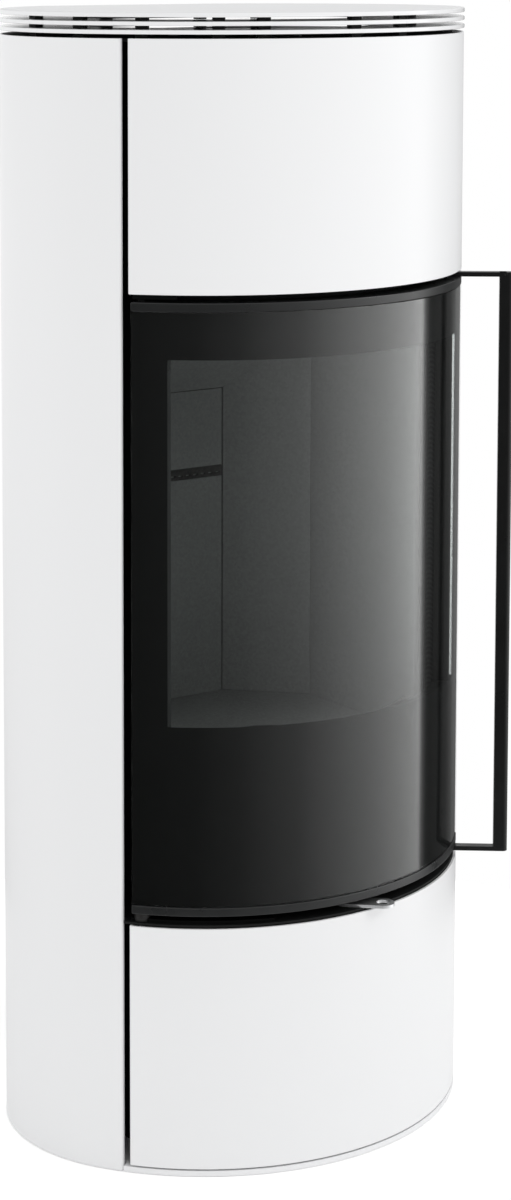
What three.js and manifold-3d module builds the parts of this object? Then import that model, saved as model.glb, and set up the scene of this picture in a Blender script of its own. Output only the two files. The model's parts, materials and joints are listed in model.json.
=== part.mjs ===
// A tall oval wood stove: white sheet-steel panels round a dark firebox, with a curved glass door,
// a full-height bar handle, an air lever under the door and a storage compartment below.
// Millimetres and degrees. +Z is up, the front faces -Y, and +X is on the right seen from the front.
// The origin is on the floor, under the middle of the oval.
import * as THREE from 'three';
import { mergeVertices } from 'three/addons/utils/BufferGeometryUtils.js';
import Module from 'manifold-3d';

const wasm = await Module();
wasm.setup();

// ---- Driving sizes -------------------------------------------------------------------------

const GAP = 0.3;                    // between pieces that touch
const SLOT = 1.0;                   // between a piece that swings and what it passes
const ARC_STEP = 4.5;               // one facet of a large arc covers at most this angle
const ROUND_SIDES = 20;             // facets of a pin or a hole
const FLUE_SIDES = 28;              // facets of a pipe collar

// The oval outline.
const HALF_WIDTH = 250;
const FRONT_DEPTH = 211;            // from the middle to the front
const BACK_CUT = 26;                // how much of the oval the flat back cuts off
const JUNCTION_ANGLE = 56.84;       // where the front arc meets the side arc

// Heights of the front, from the floor up and from the top edge down.
const BASE_THICKNESS = 5.5;
const STORAGE_DOOR_CLEARANCE = 1.5; // under the storage door
const STORAGE_DOOR_HEIGHT = 241.5;
const RECESS_HEIGHT = 12.5;         // open joint under the glass door
const BODY_HEIGHT = 1108;           // top edge of the panels
const UPPER_PANEL_HEIGHT = 242;
const UPPER_JOINT = 7.5;            // open joint over the glass door

// White panels.
const PANEL_SHEET = 2.5;
const SIDE_PANEL_ANGLE = 51.6;      // where a side panel starts, from the front axis
const SIDE_LIP_DEPTH = 6;           // fold along a side panel's front edge
const BACK_FLANGE = 28;             // fold of a side panel along the flat back
const FRONT_PANEL_ANGLE = 50.15;    // half of the angle that the front panels cover
const FRONT_FOLD_DEPTH = 12;        // fold round a front panel's edges

// Vented top.
const TOP_SLOT = 4;                 // height of each slot between the top plates
const RING_THICKNESS = 4;
const TOP_PLATE_THICKNESS = 4.5;
const TOP_OVERHANG = 0.6;           // how far the top plates stand proud of the panels
const RING_WIDTH = 78;
const TOP_FRAME_THICKNESS = 3;
const TOP_FRAME_DROP = 0.5;         // from the panels' top edge down to the top frame
const TOP_LEG = 16;                 // side of the square legs under the top frame
const TOP_LEG_INSET = 43.3;         // from the casing's side to the middle of a leg
const TOP_LEG_Y = 30;
const TOP_ARM_LAP = 2;              // how far the arms under the top run into its frame
const SPACER_WIDTH = 12;
const SPACER_LENGTH = 8;
const SPACER_INSET = 8.8;
const SPACER_ANGLES = [             // from the front axis to the right
  -147, -88.8, -65.7, -47.7, -31.3, -21.6, 0, 14, 95, 122, 147,
];
const BACK_SPACERS = [-45, 75];     // to the right of the middle, along the flat back

// Glass door.
const DOOR_ANGLE = 49.6;            // half of the angle that the door covers
const RIM_HEIGHT = 8.5;
const RIM_DEPTH = 26;
const GLASS_INSET = 1;              // glass face behind the rims' face
const GLASS_THICKNESS = 4;
const DOOR_FRAME_DEPTH = 24;        // inner face of the door's steel frame
const DOOR_FRAME_INSET = 0.3;       // angle from the door's edge to its frame's edge
const WINDOW_ANGLE = 42.3;          // half of the angle of the frame's window
const WINDOW_RISE = 179;            // from the door's bottom edge up to the window
const WINDOW_DROP = 47.5;           // from the door's top edge down to the window
const DOOR_TRAY_ANGLE = 41;         // hollow in the lower half of the door frame
const DOOR_TRAY_RISE = 24;
const DOOR_TRAY_RAIL = 8;           // between the hollow and the window
const DOOR_TRAY_SKIN = 3;
const STRIP_WIDTH = 3.9;            // bright bevelled strips along the window's sides
const STRIP_DEPTH = 2.75;
const STRIP_EDGE = 0.5;             // thickness left at a strip's thin edge
const GASKET_SEAT = 0.3;            // from the rope seal to the front frame
const GASKET_MARGIN = 0.3;          // angle from the front frame's edge to the seal
const GASKET_BAND = 2.3;            // angle that the seal's sides cover
const GASKET_HEIGHT = 10;           // height of the seal's top and bottom runs
const GASKET_RISE = 11.5;
const GASKET_DROP = 10.5;

// Door hinge and catch.
const HINGE_ANGLE = 48;             // both hinges stand on the left, at this angle
const HINGE_DEPTH = 13;
const HINGE_PIN_RADIUS = 4;
const HINGE_PIN_SEAT = 7;           // how deep a hinge pin goes into a rim
const BUSHING_RADIUS = 8.25;
const HINGE_PLATE_THICKNESS = 3;
const HINGE_PLATE_FRONT = 7;
const HINGE_PLATE_BACK = 30;
const HINGE_PLATE_END = 9.9;        // from the hinge axis to the plate's left end
const HINGE_PLATE_RIGHT = 19;
const HINGE_BRACKET_FRONT = 5;
const HINGE_BRACKET_THICKNESS = 4;
const HINGE_BRACKET_LEFT = 49.5;
const HINGE_BRACKET_RIGHT = 40;
const HINGE_BRACKET_RISE = 24;      // upright part of the top bracket
const CATCH_HEIGHT = 560;           // middle of the roller catch
const ROLLER_RADIUS = 4;
const ROLLER_LENGTH = 22;
const ROLLER_PIN_RADIUS = 1.8;
const ROLLER_STANDOFF = 9.3;        // from the casing's side to the roller's axis
const ROLLER_SETBACK = 12.3;        // from the front frame's edge back to the roller's axis
const STRIKE_THICKNESS = 3;
const STRIKE_LENGTH = 30;
const STRIKE_HEIGHT = 18;

// Handle.
const HANDLE_ROOT_ANGLE = 46;
const HANDLE_ROOT_DEPTH = 12;
const HANDLE_DIRECTION = 52.8;      // direction of the arms, from the front axis
const HANDLE_REACH = 58.6;          // from the arms' root to the middle of the bar
const HANDLE_ARM_WIDTH = 10;
const HANDLE_ARM_THICKNESS = 4.7;
const HANDLE_BAR_DEPTH = 14.4;
const HANDLE_BAR_WIDTH = 10;
const HANDLE_ROUND_SIDES = 8;

// Firebox.
const LINING = 22;                  // thickness of the fire bricks
const BACK_BRICK_JOINT = 1.2;       // open joint down each side of the back brick
const LINING_END_GAP = 2.2;         // from the side bricks to the front frame
const LINING_BEVEL_WIDTH = 16;      // cut off a side brick's inner front edge, across the brick
const LINING_BEVEL_LENGTH = 25;     // and along it
const BACK_SPACE = 65;              // from the fire bricks to the flat back
const FIREBOX_CORNER = 68;          // length along X and Y of the 45-degree corners
const FLOOR_RISE = 122;             // from the casing's bottom to the firebox floor
const SIDE_LINING_DROP = 10.5;      // from the door's top edge down to the side bricks' top
const BAFFLE_SLOPE_RISE = 126;      // from the back brick's top to the side bricks' top
const FLOOR_LINING = 28;
const CASING_WALL = 4;
const CASING_SILL = 7;              // from the door's bottom edge up to the casing
const CASING_HEADROOM = 84;         // from the casing's top to the panels' top edge
const CASING_SHELF = 7;
const CASING_SHELF_BORDER = 40;
const FRONT_FRAME_FRONT = 33.5;
const FRONT_FRAME_BACK = 38;
const FRONT_FRAME_ANGLE = 45.6;
const FIRE_OPENING_ANGLE = 42.9;
const FIRE_OPENING_SILL = 24;       // from the firebox floor down to the opening
const FIRE_OPENING_HEAD = 2;        // from the side bricks' top down to the opening
const ASH_OPENING_ANGLE = 26;
const ASH_OPENING_RISE = 18;
const ASH_OPENING_BAR = 14;         // between the ash opening and the fire opening
const BAFFLE_THICKNESS = 20;
const BAFFLE_REACH = 100;           // from the back brick to the slanted baffle's front
const BAFFLE_DROP = 36;             // from the side bricks' top to the baffle's front edge
const UPPER_BAFFLE_THICKNESS = 10;
const UPPER_BAFFLE_LAP = 8;         // how far the upper baffle passes the corners' start
const GRATE_RADIUS = 54;
const GRATE_Y = 66;                 // from the oval's middle to the front
const GRATE_THICKNESS = 10;
const GRATE_LEDGE = 5;
const GRATE_BAR_PITCH = 13;
const GRATE_SLOT_WIDTH = 6;
const RETAINER_DEPTH = 44;
const RETAINER_THICKNESS = 3;
const RETAINER_ANGLE = 33;
const RETAINER_HEIGHT = 40;
const AIR_BAR_DROP = 95;            // from the back brick's top down to the air bar
const AIR_BAR_HEIGHT = 11.5;
const AIR_BAR_DEPTH = 3;            // the bar lies flush in a groove of the back brick
const AIR_BAR_HOLES = 14;
const AIR_BAR_HOLE_LENGTH = 5.5;
const AIR_BAR_HOLE_HEIGHT = 2;
const AIR_BAR_HOLE_RISE = 2.8;      // from the bar's bottom to its air holes
const FLUE_RADIUS = 75;
const FLUE_WALL = 2;
const FLUE_DROP = 89;               // from the casing's top down to the flue's axis
const FLUE_REACH = 25;              // how far the flue collar stands out of the back
const FLUE_FLANGE = 10;
const FLUE_FLANGE_THICKNESS = 3;
const FLUE_CLEARANCE = 4;           // air gap round the pipes in the back panel

// Ash pan.
const PAN_SIDE_GAP = 5.2;           // from the pan's side to the ash opening's side
const PAN_DOOR_GAP = 3.6;           // from the pan to the closed door
const PAN_BACK_GAP = 2;             // from the pan to where the casing's corners start
const PAN_LIFT = 2;                 // from the ash opening's bottom to the pan
const PAN_HEADROOM = 3;             // from the pan to the ash opening's top
const PAN_SHEET = 2;
const PAN_RAIL_WIDTH = 12;
const PAN_RAIL_INSET = 3;

// Air supply.
const MIDDLE_PLATE_THICKNESS = 2;
const AIR_BOX_HALF_WIDTH = 100;
const AIR_BOX_SETBACK = 86;         // from the front to the air box
const AIR_BOX_PAST = 23;            // how far the air box passes the fire bricks at the back
const AIR_BOX_WALL = 3;
const LEVER_THICKNESS = 3;
const LEVER_WIDTH = 16;
const LEVER_ELBOW = [4, 118];       // from the pivot, to the right and to the front
const LEVER_TIP = [31, 143];
const LEVER_PROUD = 2;              // how far the hole in the tab stands out of the front
const LEVER_TAB_WIDTH = 23;
const LEVER_HOLE_RADIUS = 6.5;
const LEVER_SWING = 30;
const LEVER_HUB_RADIUS = 12;
const VALVE_SHAFT_RADIUS = 6;
const VALVE_DISC_RADIUS = 45;
const VALVE_DISC_THICKNESS = 3;
const VALVE_PORTS = 3;
const VALVE_PORT_RADIUS = 11;
const VALVE_PORT_CIRCLE = 28;
const DUCT_HALF_WIDTH = 62;
const DUCT_LAP = 39;                // how far the duct lies under the air box
const DUCT_WALL = 2;
const DUCT_PORT_HALF_WIDTH = 50;
const SPIGOT_RADIUS = 50;
const SPIGOT_DROP = 67.5;           // from the middle plate down to the spigot's axis
const SPIGOT_RISE = 64;             // from the duct's bottom up to the spigot's axis
const SPIGOT_REACH = 20;            // how far the air spigot stands out of the back

// Storage compartment.
const STORAGE_SIDE_SPACE = 80;      // from the storage box to the outline, at the side
const STORAGE_SETBACK = 116;        // from the front to the storage box
const STORAGE_DUCT_GAP = 4;
const STORAGE_WALL = 2;
const LINER_ANGLE = 49.2;
const LINER_DEPTH = 22;
const LINER_SHEET = 2.5;
const LINER_MARGIN = 3;             // liner's edges inside the white panel's edges, up and down
const STORAGE_PIN_RADIUS = 3;
const LATCH_ANGLE = 38;
const LATCH_DROP = 15;              // plunger's axis under the middle plate
const LATCH_WIDTH = 16;
const LATCH_FRONT = 32;
const LATCH_BACK = 64;
const PLUNGER_RADIUS = 4;
const PLUNGER_BACK = 54;
const KEEPER_BACK = 26;             // inner face of the block that the plunger meets
const KEEPER_HALF_WIDTH = 7;

// Back panel and fixings.
const VENT_SLOTS = 7;
const VENT_SLOT_LENGTH = 110;
const VENT_SLOT_HEIGHT = 6;
const VENT_SLOT_PITCH = 18;
const VENT_MARGIN = 40;
const BRACKET_ANGLE = 48.4;
const BRACKET_SHEET = 2.5;
const BRACKET_FOOT = 28;
const BRACKET_RISE = 19;            // from the upper panel's bottom edge to a bracket
const BRACKET_DROP = 14;            // from the casing's top down to a bracket's top
const FOOT_SCREW_INSET = 45;        // from the outline's side to a levelling screw
const FOOT_SCREW_Y = 50;
const FOOT_SCREW_RADIUS = 5;
const FOOT_SCREW_LENGTH = 30;
const FOOT_SCREW_HEAD_RADIUS = 9;
const FOOT_SCREW_HEAD = 7;

// ---- Derived sizes -------------------------------------------------------------------------

const JUNCTION = THREE.MathUtils.degToRad(JUNCTION_ANGLE);
const RADIUS_STEP = (HALF_WIDTH - FRONT_DEPTH) / (Math.sin(JUNCTION) + Math.cos(JUNCTION) - 1);
const SIDE_CENTRE = RADIUS_STEP * Math.sin(JUNCTION);
const SIDE_RADIUS = HALF_WIDTH - SIDE_CENTRE;
const FRONT_CENTRE = RADIUS_STEP * Math.cos(JUNCTION);
const FRONT_RADIUS = FRONT_DEPTH + FRONT_CENTRE;
const BACK_DEPTH = FRONT_DEPTH - BACK_CUT;
const PANEL_INNER = PANEL_SHEET + GAP;          // depth of what seats behind a white panel
const SIDE_LIP_ANGLE = SIDE_PANEL_ANGLE + arcAngle(PANEL_SHEET);
const NOTCH_START = SIDE_PANEL_ANGLE - arcAngle(GAP);
const NOTCH_END = SIDE_LIP_ANGLE + arcAngle(GAP);
const NOTCH_DEPTH = Math.max(SIDE_LIP_DEPTH, FRONT_FOLD_DEPTH) + GAP;
const BACK_PANEL_OUTER = BACK_DEPTH - PANEL_SHEET - GAP;
const BACK_PANEL_INNER = BACK_PANEL_OUTER - PANEL_SHEET;
const INNER_BACK = BACK_PANEL_INNER - GAP;      // plates inside the body end here
const FLUE_END = BACK_DEPTH + FLUE_REACH;
const SPIGOT_END = BACK_DEPTH + SPIGOT_REACH;

const BASE_TOP = BASE_THICKNESS + GAP;
const STORAGE_DOOR_BOTTOM = BASE_THICKNESS + STORAGE_DOOR_CLEARANCE;
const STORAGE_DOOR_TOP = STORAGE_DOOR_BOTTOM + STORAGE_DOOR_HEIGHT;
const MIDDLE_PLATE_BOTTOM = STORAGE_DOOR_TOP + SLOT;
const MIDDLE_PLATE_TOP = MIDDLE_PLATE_BOTTOM + MIDDLE_PLATE_THICKNESS;
const RECESS_FLOOR = MIDDLE_PLATE_TOP + GAP;
const SPIGOT_HEIGHT = MIDDLE_PLATE_BOTTOM - SPIGOT_DROP;
const LATCH_HEIGHT = MIDDLE_PLATE_BOTTOM - GAP - LATCH_DROP;

const DOOR_BOTTOM = STORAGE_DOOR_TOP + RECESS_HEIGHT;
const UPPER_PANEL_BOTTOM = BODY_HEIGHT - UPPER_PANEL_HEIGHT;
const DOOR_TOP = UPPER_PANEL_BOTTOM - UPPER_JOINT;
const WINDOW_BOTTOM = DOOR_BOTTOM + WINDOW_RISE;
const WINDOW_TOP = DOOR_TOP - WINDOW_DROP;

const CASING_BOTTOM = DOOR_BOTTOM + CASING_SILL;
const CASING_TOP = BODY_HEIGHT - CASING_HEADROOM;
const CASING_FLOOR_TOP = CASING_BOTTOM + CASING_WALL;
const CASING_HALF_WIDTH = frontWidth(FRONT_FRAME_BACK, FRONT_FRAME_ANGLE);
const BEHIND_FRONT_FRAME = FRONT_FRAME_BACK + GAP;
const FIREBOX_FLOOR = CASING_BOTTOM + FLOOR_RISE;
const FIREBOX_HALF_WIDTH = CASING_HALF_WIDTH - CASING_WALL - GAP - LINING;
const FIREBOX_BACK = BACK_DEPTH - BACK_SPACE;
const FIREBOX_CORNER_Y = FIREBOX_BACK - FIREBOX_CORNER;
const FIREBOX_BACK_HALF_WIDTH = FIREBOX_HALF_WIDTH - FIREBOX_CORNER;
const CASING_BACK = FIREBOX_BACK + LINING + GAP + CASING_WALL;
const SIDE_LINING_TOP = DOOR_TOP - SIDE_LINING_DROP;
const BACK_LINING_TOP = SIDE_LINING_TOP - BAFFLE_SLOPE_RISE;
const AIR_BAR_BOTTOM = BACK_LINING_TOP - AIR_BAR_DROP;
const FLOOR_LINING_BOTTOM = FIREBOX_FLOOR - FLOOR_LINING;
const LINING_BOTTOM = FIREBOX_FLOOR + GAP;
const FIRE_OPENING_BOTTOM = FIREBOX_FLOOR - FIRE_OPENING_SILL;
const ASH_OPENING_BOTTOM = CASING_BOTTOM + ASH_OPENING_RISE;
const ASH_OPENING_TOP = FIRE_OPENING_BOTTOM - ASH_OPENING_BAR;
const FLUE_HEIGHT = CASING_TOP - FLUE_DROP;
const PAN_HALF_WIDTH = frontWidth(FRONT_FRAME_BACK, ASH_OPENING_ANGLE) - PAN_SIDE_GAP;
const PAN_BOTTOM = ASH_OPENING_BOTTOM + PAN_LIFT;
const PAN_BACK = FIREBOX_CORNER_Y - PAN_BACK_GAP;

const AIR_BOX_FRONT = FRONT_DEPTH - AIR_BOX_SETBACK;
const AIR_BOX_BACK = FIREBOX_BACK + AIR_BOX_PAST;
const LEVER_PIVOT_Y = FRONT_DEPTH + LEVER_PROUD - LEVER_TIP[1];
const DUCT_FRONT_Y = AIR_BOX_BACK - DUCT_LAP;
const STORAGE_HALF_WIDTH = HALF_WIDTH - STORAGE_SIDE_SPACE;

const TOP_FRAME_TOP = BODY_HEIGHT - TOP_FRAME_DROP;
const TOP_FRAME_BOTTOM = TOP_FRAME_TOP - TOP_FRAME_THICKNESS;
const LOWER_RING_BOTTOM = BODY_HEIGHT + TOP_SLOT;
const UPPER_RING_BOTTOM = LOWER_RING_BOTTOM + RING_THICKNESS + TOP_SLOT;
const TOP_PLATE_BOTTOM = UPPER_RING_BOTTOM + RING_THICKNESS + TOP_SLOT;

// ---- Outlines ------------------------------------------------------------------------------

// Angle that an arc length covers on the front outline.
function arcAngle(length) {
  return THREE.MathUtils.radToDeg(length / FRONT_RADIUS);
}

// Distance to the side that the inset front arc reaches at an angle from the front axis.
function frontWidth(depth, angle) {
  return (FRONT_RADIUS - depth) * Math.sin(THREE.MathUtils.degToRad(angle));
}

// Distance in front of the middle at which the inset front arc passes a distance to the side.
function frontReach(depth, sideways) {
  return Math.sqrt((FRONT_RADIUS - depth) ** 2 - sideways ** 2) - FRONT_CENTRE;
}

// A point of the oval, inset by depth, at an angle counted from the front axis to the right.
function ovalPoint(angle, depth) {
  const turn = THREE.MathUtils.degToRad(angle);
  const away = Math.abs(angle);
  const side = Math.sign(angle);
  let centre = new THREE.Vector2(side * SIDE_CENTRE, 0);
  let radius = SIDE_RADIUS - depth;
  if (away <= JUNCTION_ANGLE) {
    centre = new THREE.Vector2(0, FRONT_CENTRE);
    radius = FRONT_RADIUS - depth;
  }
  if (away >= 180 - JUNCTION_ANGLE) {
    centre = new THREE.Vector2(0, -FRONT_CENTRE);
    radius = FRONT_RADIUS - depth;
  }
  return new THREE.Vector2(radius * Math.sin(turn), -radius * Math.cos(turn)).add(centre);
}

// Angle at which the inset oval reaches a distance behind the middle.
function backAngle(depth, back) {
  return THREE.MathUtils.radToDeg(Math.acos(-(back + FRONT_CENTRE) / (FRONT_RADIUS - depth)));
}

// Points along the inset oval between two angles, both on the right half or on the front arc.
function ovalArc(depth, from, to) {
  const stops = [from, JUNCTION_ANGLE, 90, 180 - JUNCTION_ANGLE, to];
  const breaks = stops.filter((stop) => stop >= from && stop <= to);
  const points = [ovalPoint(from, depth)];
  for (let i = 1; i < breaks.length; i++) {
    const steps = Math.ceil((breaks[i] - breaks[i - 1]) / ARC_STEP);
    for (let step = 1; step <= steps; step++) {
      points.push(ovalPoint(breaks[i - 1] + (breaks[i] - breaks[i - 1]) * step / steps, depth));
    }
  }
  return points.filter((point, i) => i === 0 || point.distanceTo(points[i - 1]) > GAP / 10);
}

function mirrored(points) {
  return points.map((point) => new THREE.Vector2(-point.x, point.y)).reverse();
}

// The whole inset oval, closed by a straight line at the back.
function ovalOutline(depth, back) {
  const right = ovalArc(depth, 0, backAngle(depth, back));
  return [...mirrored(right.slice(1)), ...right];
}

// The outline of a plate inside the body: flush behind the front panels, notched round the folds.
function plateOutline(frontDepth, notchStart) {
  const right = [
    ...ovalArc(frontDepth, 0, notchStart),
    ...ovalArc(NOTCH_DEPTH, notchStart, NOTCH_END),
    ...ovalArc(PANEL_INNER, NOTCH_END, backAngle(PANEL_INNER, INNER_BACK)),
  ];
  return [...mirrored(right.slice(1)), ...right];
}

// ---- Solids --------------------------------------------------------------------------------

const MIDDLE = new THREE.Vector2(0, 0);

function prism(points, bottom, top) {
  const geometry = new THREE.ExtrudeGeometry(new THREE.Shape(points), {
    depth: top - bottom,
    bevelEnabled: false,
  });
  return solid(geometry.translate(0, 0, bottom));
}

// A curved wall between two depths and two angles of the front arc.
function frontBand(outer, inner, from, to, bottom, top) {
  return prism([...ovalArc(outer, from, to), ...ovalArc(inner, from, to).reverse()], bottom, top);
}

function block(left, right, front, back, bottom, top) {
  const geometry = new THREE.BoxGeometry(right - left, back - front, top - bottom);
  return solid(geometry.translate((left + right) / 2, (front + back) / 2, (bottom + top) / 2));
}

function rod(centre, radius, bottom, top, sides = ROUND_SIDES) {
  const geometry = new THREE.CylinderGeometry(radius, radius, top - bottom, sides);
  geometry.rotateX(Math.PI / 2);
  return solid(geometry.translate(centre.x, centre.y, (bottom + top) / 2));
}

// A closed profile of [radius, distance along Y] points, turned about a line parallel to Y.
function turned(profile, sides, x = 0, z = 0) {
  const points = profile.map(([radius, along]) => new THREE.Vector2(radius, along));
  return solid(new THREE.LatheGeometry(points, sides).translate(x, 0, z));
}

// A round bar along Y between two distances.
function lyingRod(radius, front, back, sides, x = 0, z = 0) {
  return turned([[0, front], [radius, front], [radius, back], [0, back]], sides, x, z);
}

// A flat bar with round ends between two points in plan.
function roundedBar(start, end, width, bottom, top) {
  const along = end.clone().sub(start).normalize();
  const across = new THREE.Vector2(-along.y, along.x).multiplyScalar(width / 2);
  const outline = [
    start.clone().add(across),
    start.clone().sub(across),
    end.clone().sub(across),
    end.clone().add(across),
  ];
  return join(
    prism(outline, bottom, top),
    rod(start, width / 2, bottom, top),
    rod(end, width / 2, bottom, top),
  );
}

function solid(geometry) {
  geometry.deleteAttribute('normal');
  geometry.deleteAttribute('uv');
  const merged = mergeVertices(geometry);
  return new wasm.Manifold(new wasm.Mesh({
    numProp: 3,
    vertProperties: new Float32Array(merged.attributes.position.array),
    triVerts: new Uint32Array(merged.index.array),
  }));
}

function cut(body, ...tools) {
  return tools.reduce((left, tool) => left.subtract(tool), body);
}

function join(body, ...more) {
  return more.reduce((whole, next) => whole.add(next), body);
}

// ---- Scene graph ---------------------------------------------------------------------------

const stove = new THREE.Group();
const glassDoor = hungGroup(hingePoint());
const storageDoor = hungGroup(hingePoint());

// A group that turns about an upright axis through a point and is laid out from the oval's middle.
function hungGroup(axis) {
  const pivot = placedGroup(stove, axis.x, axis.y, 0);
  return placedGroup(pivot, -axis.x, -axis.y, 0);
}

function placedGroup(parent, x, y, z, turn = 0) {
  const group = new THREE.Group();
  group.position.set(x, y, z);
  group.rotation.z = THREE.MathUtils.degToRad(turn);
  parent.add(group);
  return group;
}

function piece(parent, name, body, material) {
  const mesh = body.getMesh();
  const geometry = new THREE.BufferGeometry();
  geometry.setAttribute('position', new THREE.BufferAttribute(mesh.vertProperties, 3));
  geometry.setIndex(new THREE.BufferAttribute(mesh.triVerts, 1));
  geometry.computeVertexNormals();
  const node = new THREE.Mesh(geometry, material);
  node.name = name;
  parent.add(node);
  return node;
}

function hingePoint() {
  return ovalPoint(-HINGE_ANGLE, HINGE_DEPTH);
}

function pivotPoint() {
  return new THREE.Vector2(0, -LEVER_PIVOT_Y);
}

function gratePoint() {
  return new THREE.Vector2(0, -GRATE_Y);
}

// ---- Materials -----------------------------------------------------------------------------

function finish(color, roughness, metalness) {
  return new THREE.MeshStandardMaterial({ color, roughness, metalness });
}

const whitePaint = () => finish(0xeff0f1, 0.25, 0.0);
const blackPaint = () => finish(0x1b1c1d, 0.55, 0.2);
const rimPaint = () => finish(0x2c2e2f, 0.4, 0.3);
const castIron = () => finish(0x222222, 0.7, 0.6);
const brightSteel = () => finish(0xb9bcbe, 0.25, 1.0);
const fireBrick = () => finish(0x6c6a66, 0.9, 0.0);
const ropeSeal = () => finish(0x3b3c3d, 0.95, 0.0);
const bronze = () => finish(0x4a4640, 0.5, 0.6);

function glassPane() {
  const material = finish(0x101314, 0.05, 0.0);
  material.transparent = true;
  material.opacity = 0.5;
  return material;
}

// ---- Base, panels and back -----------------------------------------------------------------

function makeBase() {
  const screwHoles = footPoints().map((point) =>
    rod(point, FOOT_SCREW_RADIUS + GAP, -SLOT, BASE_THICKNESS + SLOT));
  const pinHole = rod(hingePoint(), STORAGE_PIN_RADIUS + GAP, SLOT, BASE_THICKNESS + SLOT);
  piece(stove, 'base_plate', cut(
    prism(plateOutline(0, NOTCH_START), 0, BASE_THICKNESS),
    ...screwHoles,
    pinHole,
  ), whitePaint());
  footPoints().forEach((point, i) => {
    const head = FOOT_SCREW_LENGTH - FOOT_SCREW_HEAD;
    const screw = join(
      rod(MIDDLE, FOOT_SCREW_RADIUS, 0, FOOT_SCREW_LENGTH),
      rod(MIDDLE, FOOT_SCREW_HEAD_RADIUS, head, FOOT_SCREW_LENGTH, 6),
    );
    piece(stove, `leveling_screw_${i + 1}`, screw, brightSteel()).position.set(point.x, point.y, 0);
  });
}

function footPoints() {
  return [[-1, -1], [1, -1], [-1, 1], [1, 1]].map(([sideways, back]) =>
    new THREE.Vector2(sideways * (HALF_WIDTH - FOOT_SCREW_INSET), back * FOOT_SCREW_Y));
}

function makeSidePanels() {
  const outerBack = backAngle(0, BACK_DEPTH);
  const innerBack = backAngle(PANEL_SHEET, BACK_DEPTH - PANEL_SHEET);
  const flangeEnd = ovalPoint(outerBack, 0).x - BACK_FLANGE;
  const outline = [
    ...ovalArc(0, SIDE_PANEL_ANGLE, outerBack),
    new THREE.Vector2(flangeEnd, BACK_DEPTH),
    new THREE.Vector2(flangeEnd, BACK_DEPTH - PANEL_SHEET),
    ...ovalArc(PANEL_SHEET, SIDE_LIP_ANGLE, innerBack).reverse(),
    ovalPoint(SIDE_LIP_ANGLE, SIDE_LIP_DEPTH),
    ovalPoint(SIDE_PANEL_ANGLE, SIDE_LIP_DEPTH),
  ];
  piece(stove, 'side_panel_right', prism(outline, 0, BODY_HEIGHT), whitePaint());
  piece(stove, 'side_panel_left', prism(mirrored(outline), 0, BODY_HEIGHT), whitePaint());
}

function makeBackPanel() {
  const halfWidth = ovalPoint(backAngle(PANEL_INNER, BACK_PANEL_OUTER), PANEL_INNER).x;
  const front = BACK_PANEL_INNER - SLOT;
  const back = BACK_PANEL_OUTER + SLOT;
  const top = TOP_FRAME_BOTTOM - GAP;
  const openings = [
    lyingRod(FLUE_RADIUS + FLUE_CLEARANCE, front, back, FLUE_SIDES, 0, FLUE_HEIGHT),
    lyingRod(SPIGOT_RADIUS + FLUE_CLEARANCE, front, back, FLUE_SIDES, 0, SPIGOT_HEIGHT),
  ];
  const half = VENT_SLOT_LENGTH / 2;
  for (let i = 0; i < VENT_SLOTS; i++) {
    const low = BASE_TOP + VENT_MARGIN + i * VENT_SLOT_PITCH;
    const high = top - VENT_MARGIN - i * VENT_SLOT_PITCH;
    if (low + VENT_SLOT_HEIGHT < SPIGOT_HEIGHT - SPIGOT_RADIUS - VENT_SLOT_PITCH) {
      openings.push(block(-half, half, front, back, low, low + VENT_SLOT_HEIGHT));
    }
    if (high - VENT_SLOT_HEIGHT > FLUE_HEIGHT + FLUE_RADIUS + VENT_SLOT_PITCH) {
      openings.push(block(-half, half, front, back, high - VENT_SLOT_HEIGHT, high));
    }
  }
  piece(stove, 'back_panel', cut(
    block(-halfWidth, halfWidth, BACK_PANEL_INNER, BACK_PANEL_OUTER, BASE_TOP, top),
    ...openings,
  ), blackPaint());
}

// A front panel: a curved sheet with folds down its sides and along its closed edges.
function foldedPanel(bottom, top, hollowBottom, hollowTop) {
  const inside = FRONT_PANEL_ANGLE - arcAngle(PANEL_SHEET);
  return cut(
    frontBand(0, FRONT_FOLD_DEPTH, -FRONT_PANEL_ANGLE, FRONT_PANEL_ANGLE, bottom, top),
    frontBand(PANEL_SHEET, FRONT_FOLD_DEPTH + SLOT, -inside, inside, hollowBottom, hollowTop),
  );
}

function makeUpperPanel() {
  piece(stove, 'upper_front_panel', foldedPanel(UPPER_PANEL_BOTTOM, BODY_HEIGHT,
    UPPER_PANEL_BOTTOM + PANEL_SHEET, BODY_HEIGHT + SLOT), whitePaint());

  const halfSheet = arcAngle(BRACKET_SHEET) / 2;
  const footFrom = CASING_HALF_WIDTH + GAP;
  const footTo = footFrom + BRACKET_SHEET;
  const turn = THREE.MathUtils.degToRad(BRACKET_ANGLE);
  const webEnd = FRONT_RADIUS - (footFrom + footTo) / 2 / Math.sin(turn);
  const footFront = ovalPoint(BRACKET_ANGLE, webEnd).y - BRACKET_SHEET;
  const footBack = footFront + BRACKET_FOOT;
  const web = [
    ovalPoint(BRACKET_ANGLE - halfSheet, PANEL_INNER),
    ovalPoint(BRACKET_ANGLE + halfSheet, PANEL_INNER),
    ovalPoint(BRACKET_ANGLE + halfSheet, webEnd),
    ovalPoint(BRACKET_ANGLE - halfSheet, webEnd),
  ];
  const bottom = UPPER_PANEL_BOTTOM + BRACKET_RISE;
  const top = CASING_TOP - BRACKET_DROP;
  piece(stove, 'panel_bracket_right', join(
    prism(web, bottom, top),
    block(footFrom, footTo, footFront, footBack, bottom, top),
  ), blackPaint());
  piece(stove, 'panel_bracket_left', join(
    prism(mirrored(web), bottom, top),
    block(-footTo, -footFrom, footFront, footBack, bottom, top),
  ), blackPaint());
}

// ---- Storage compartment -------------------------------------------------------------------

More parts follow.
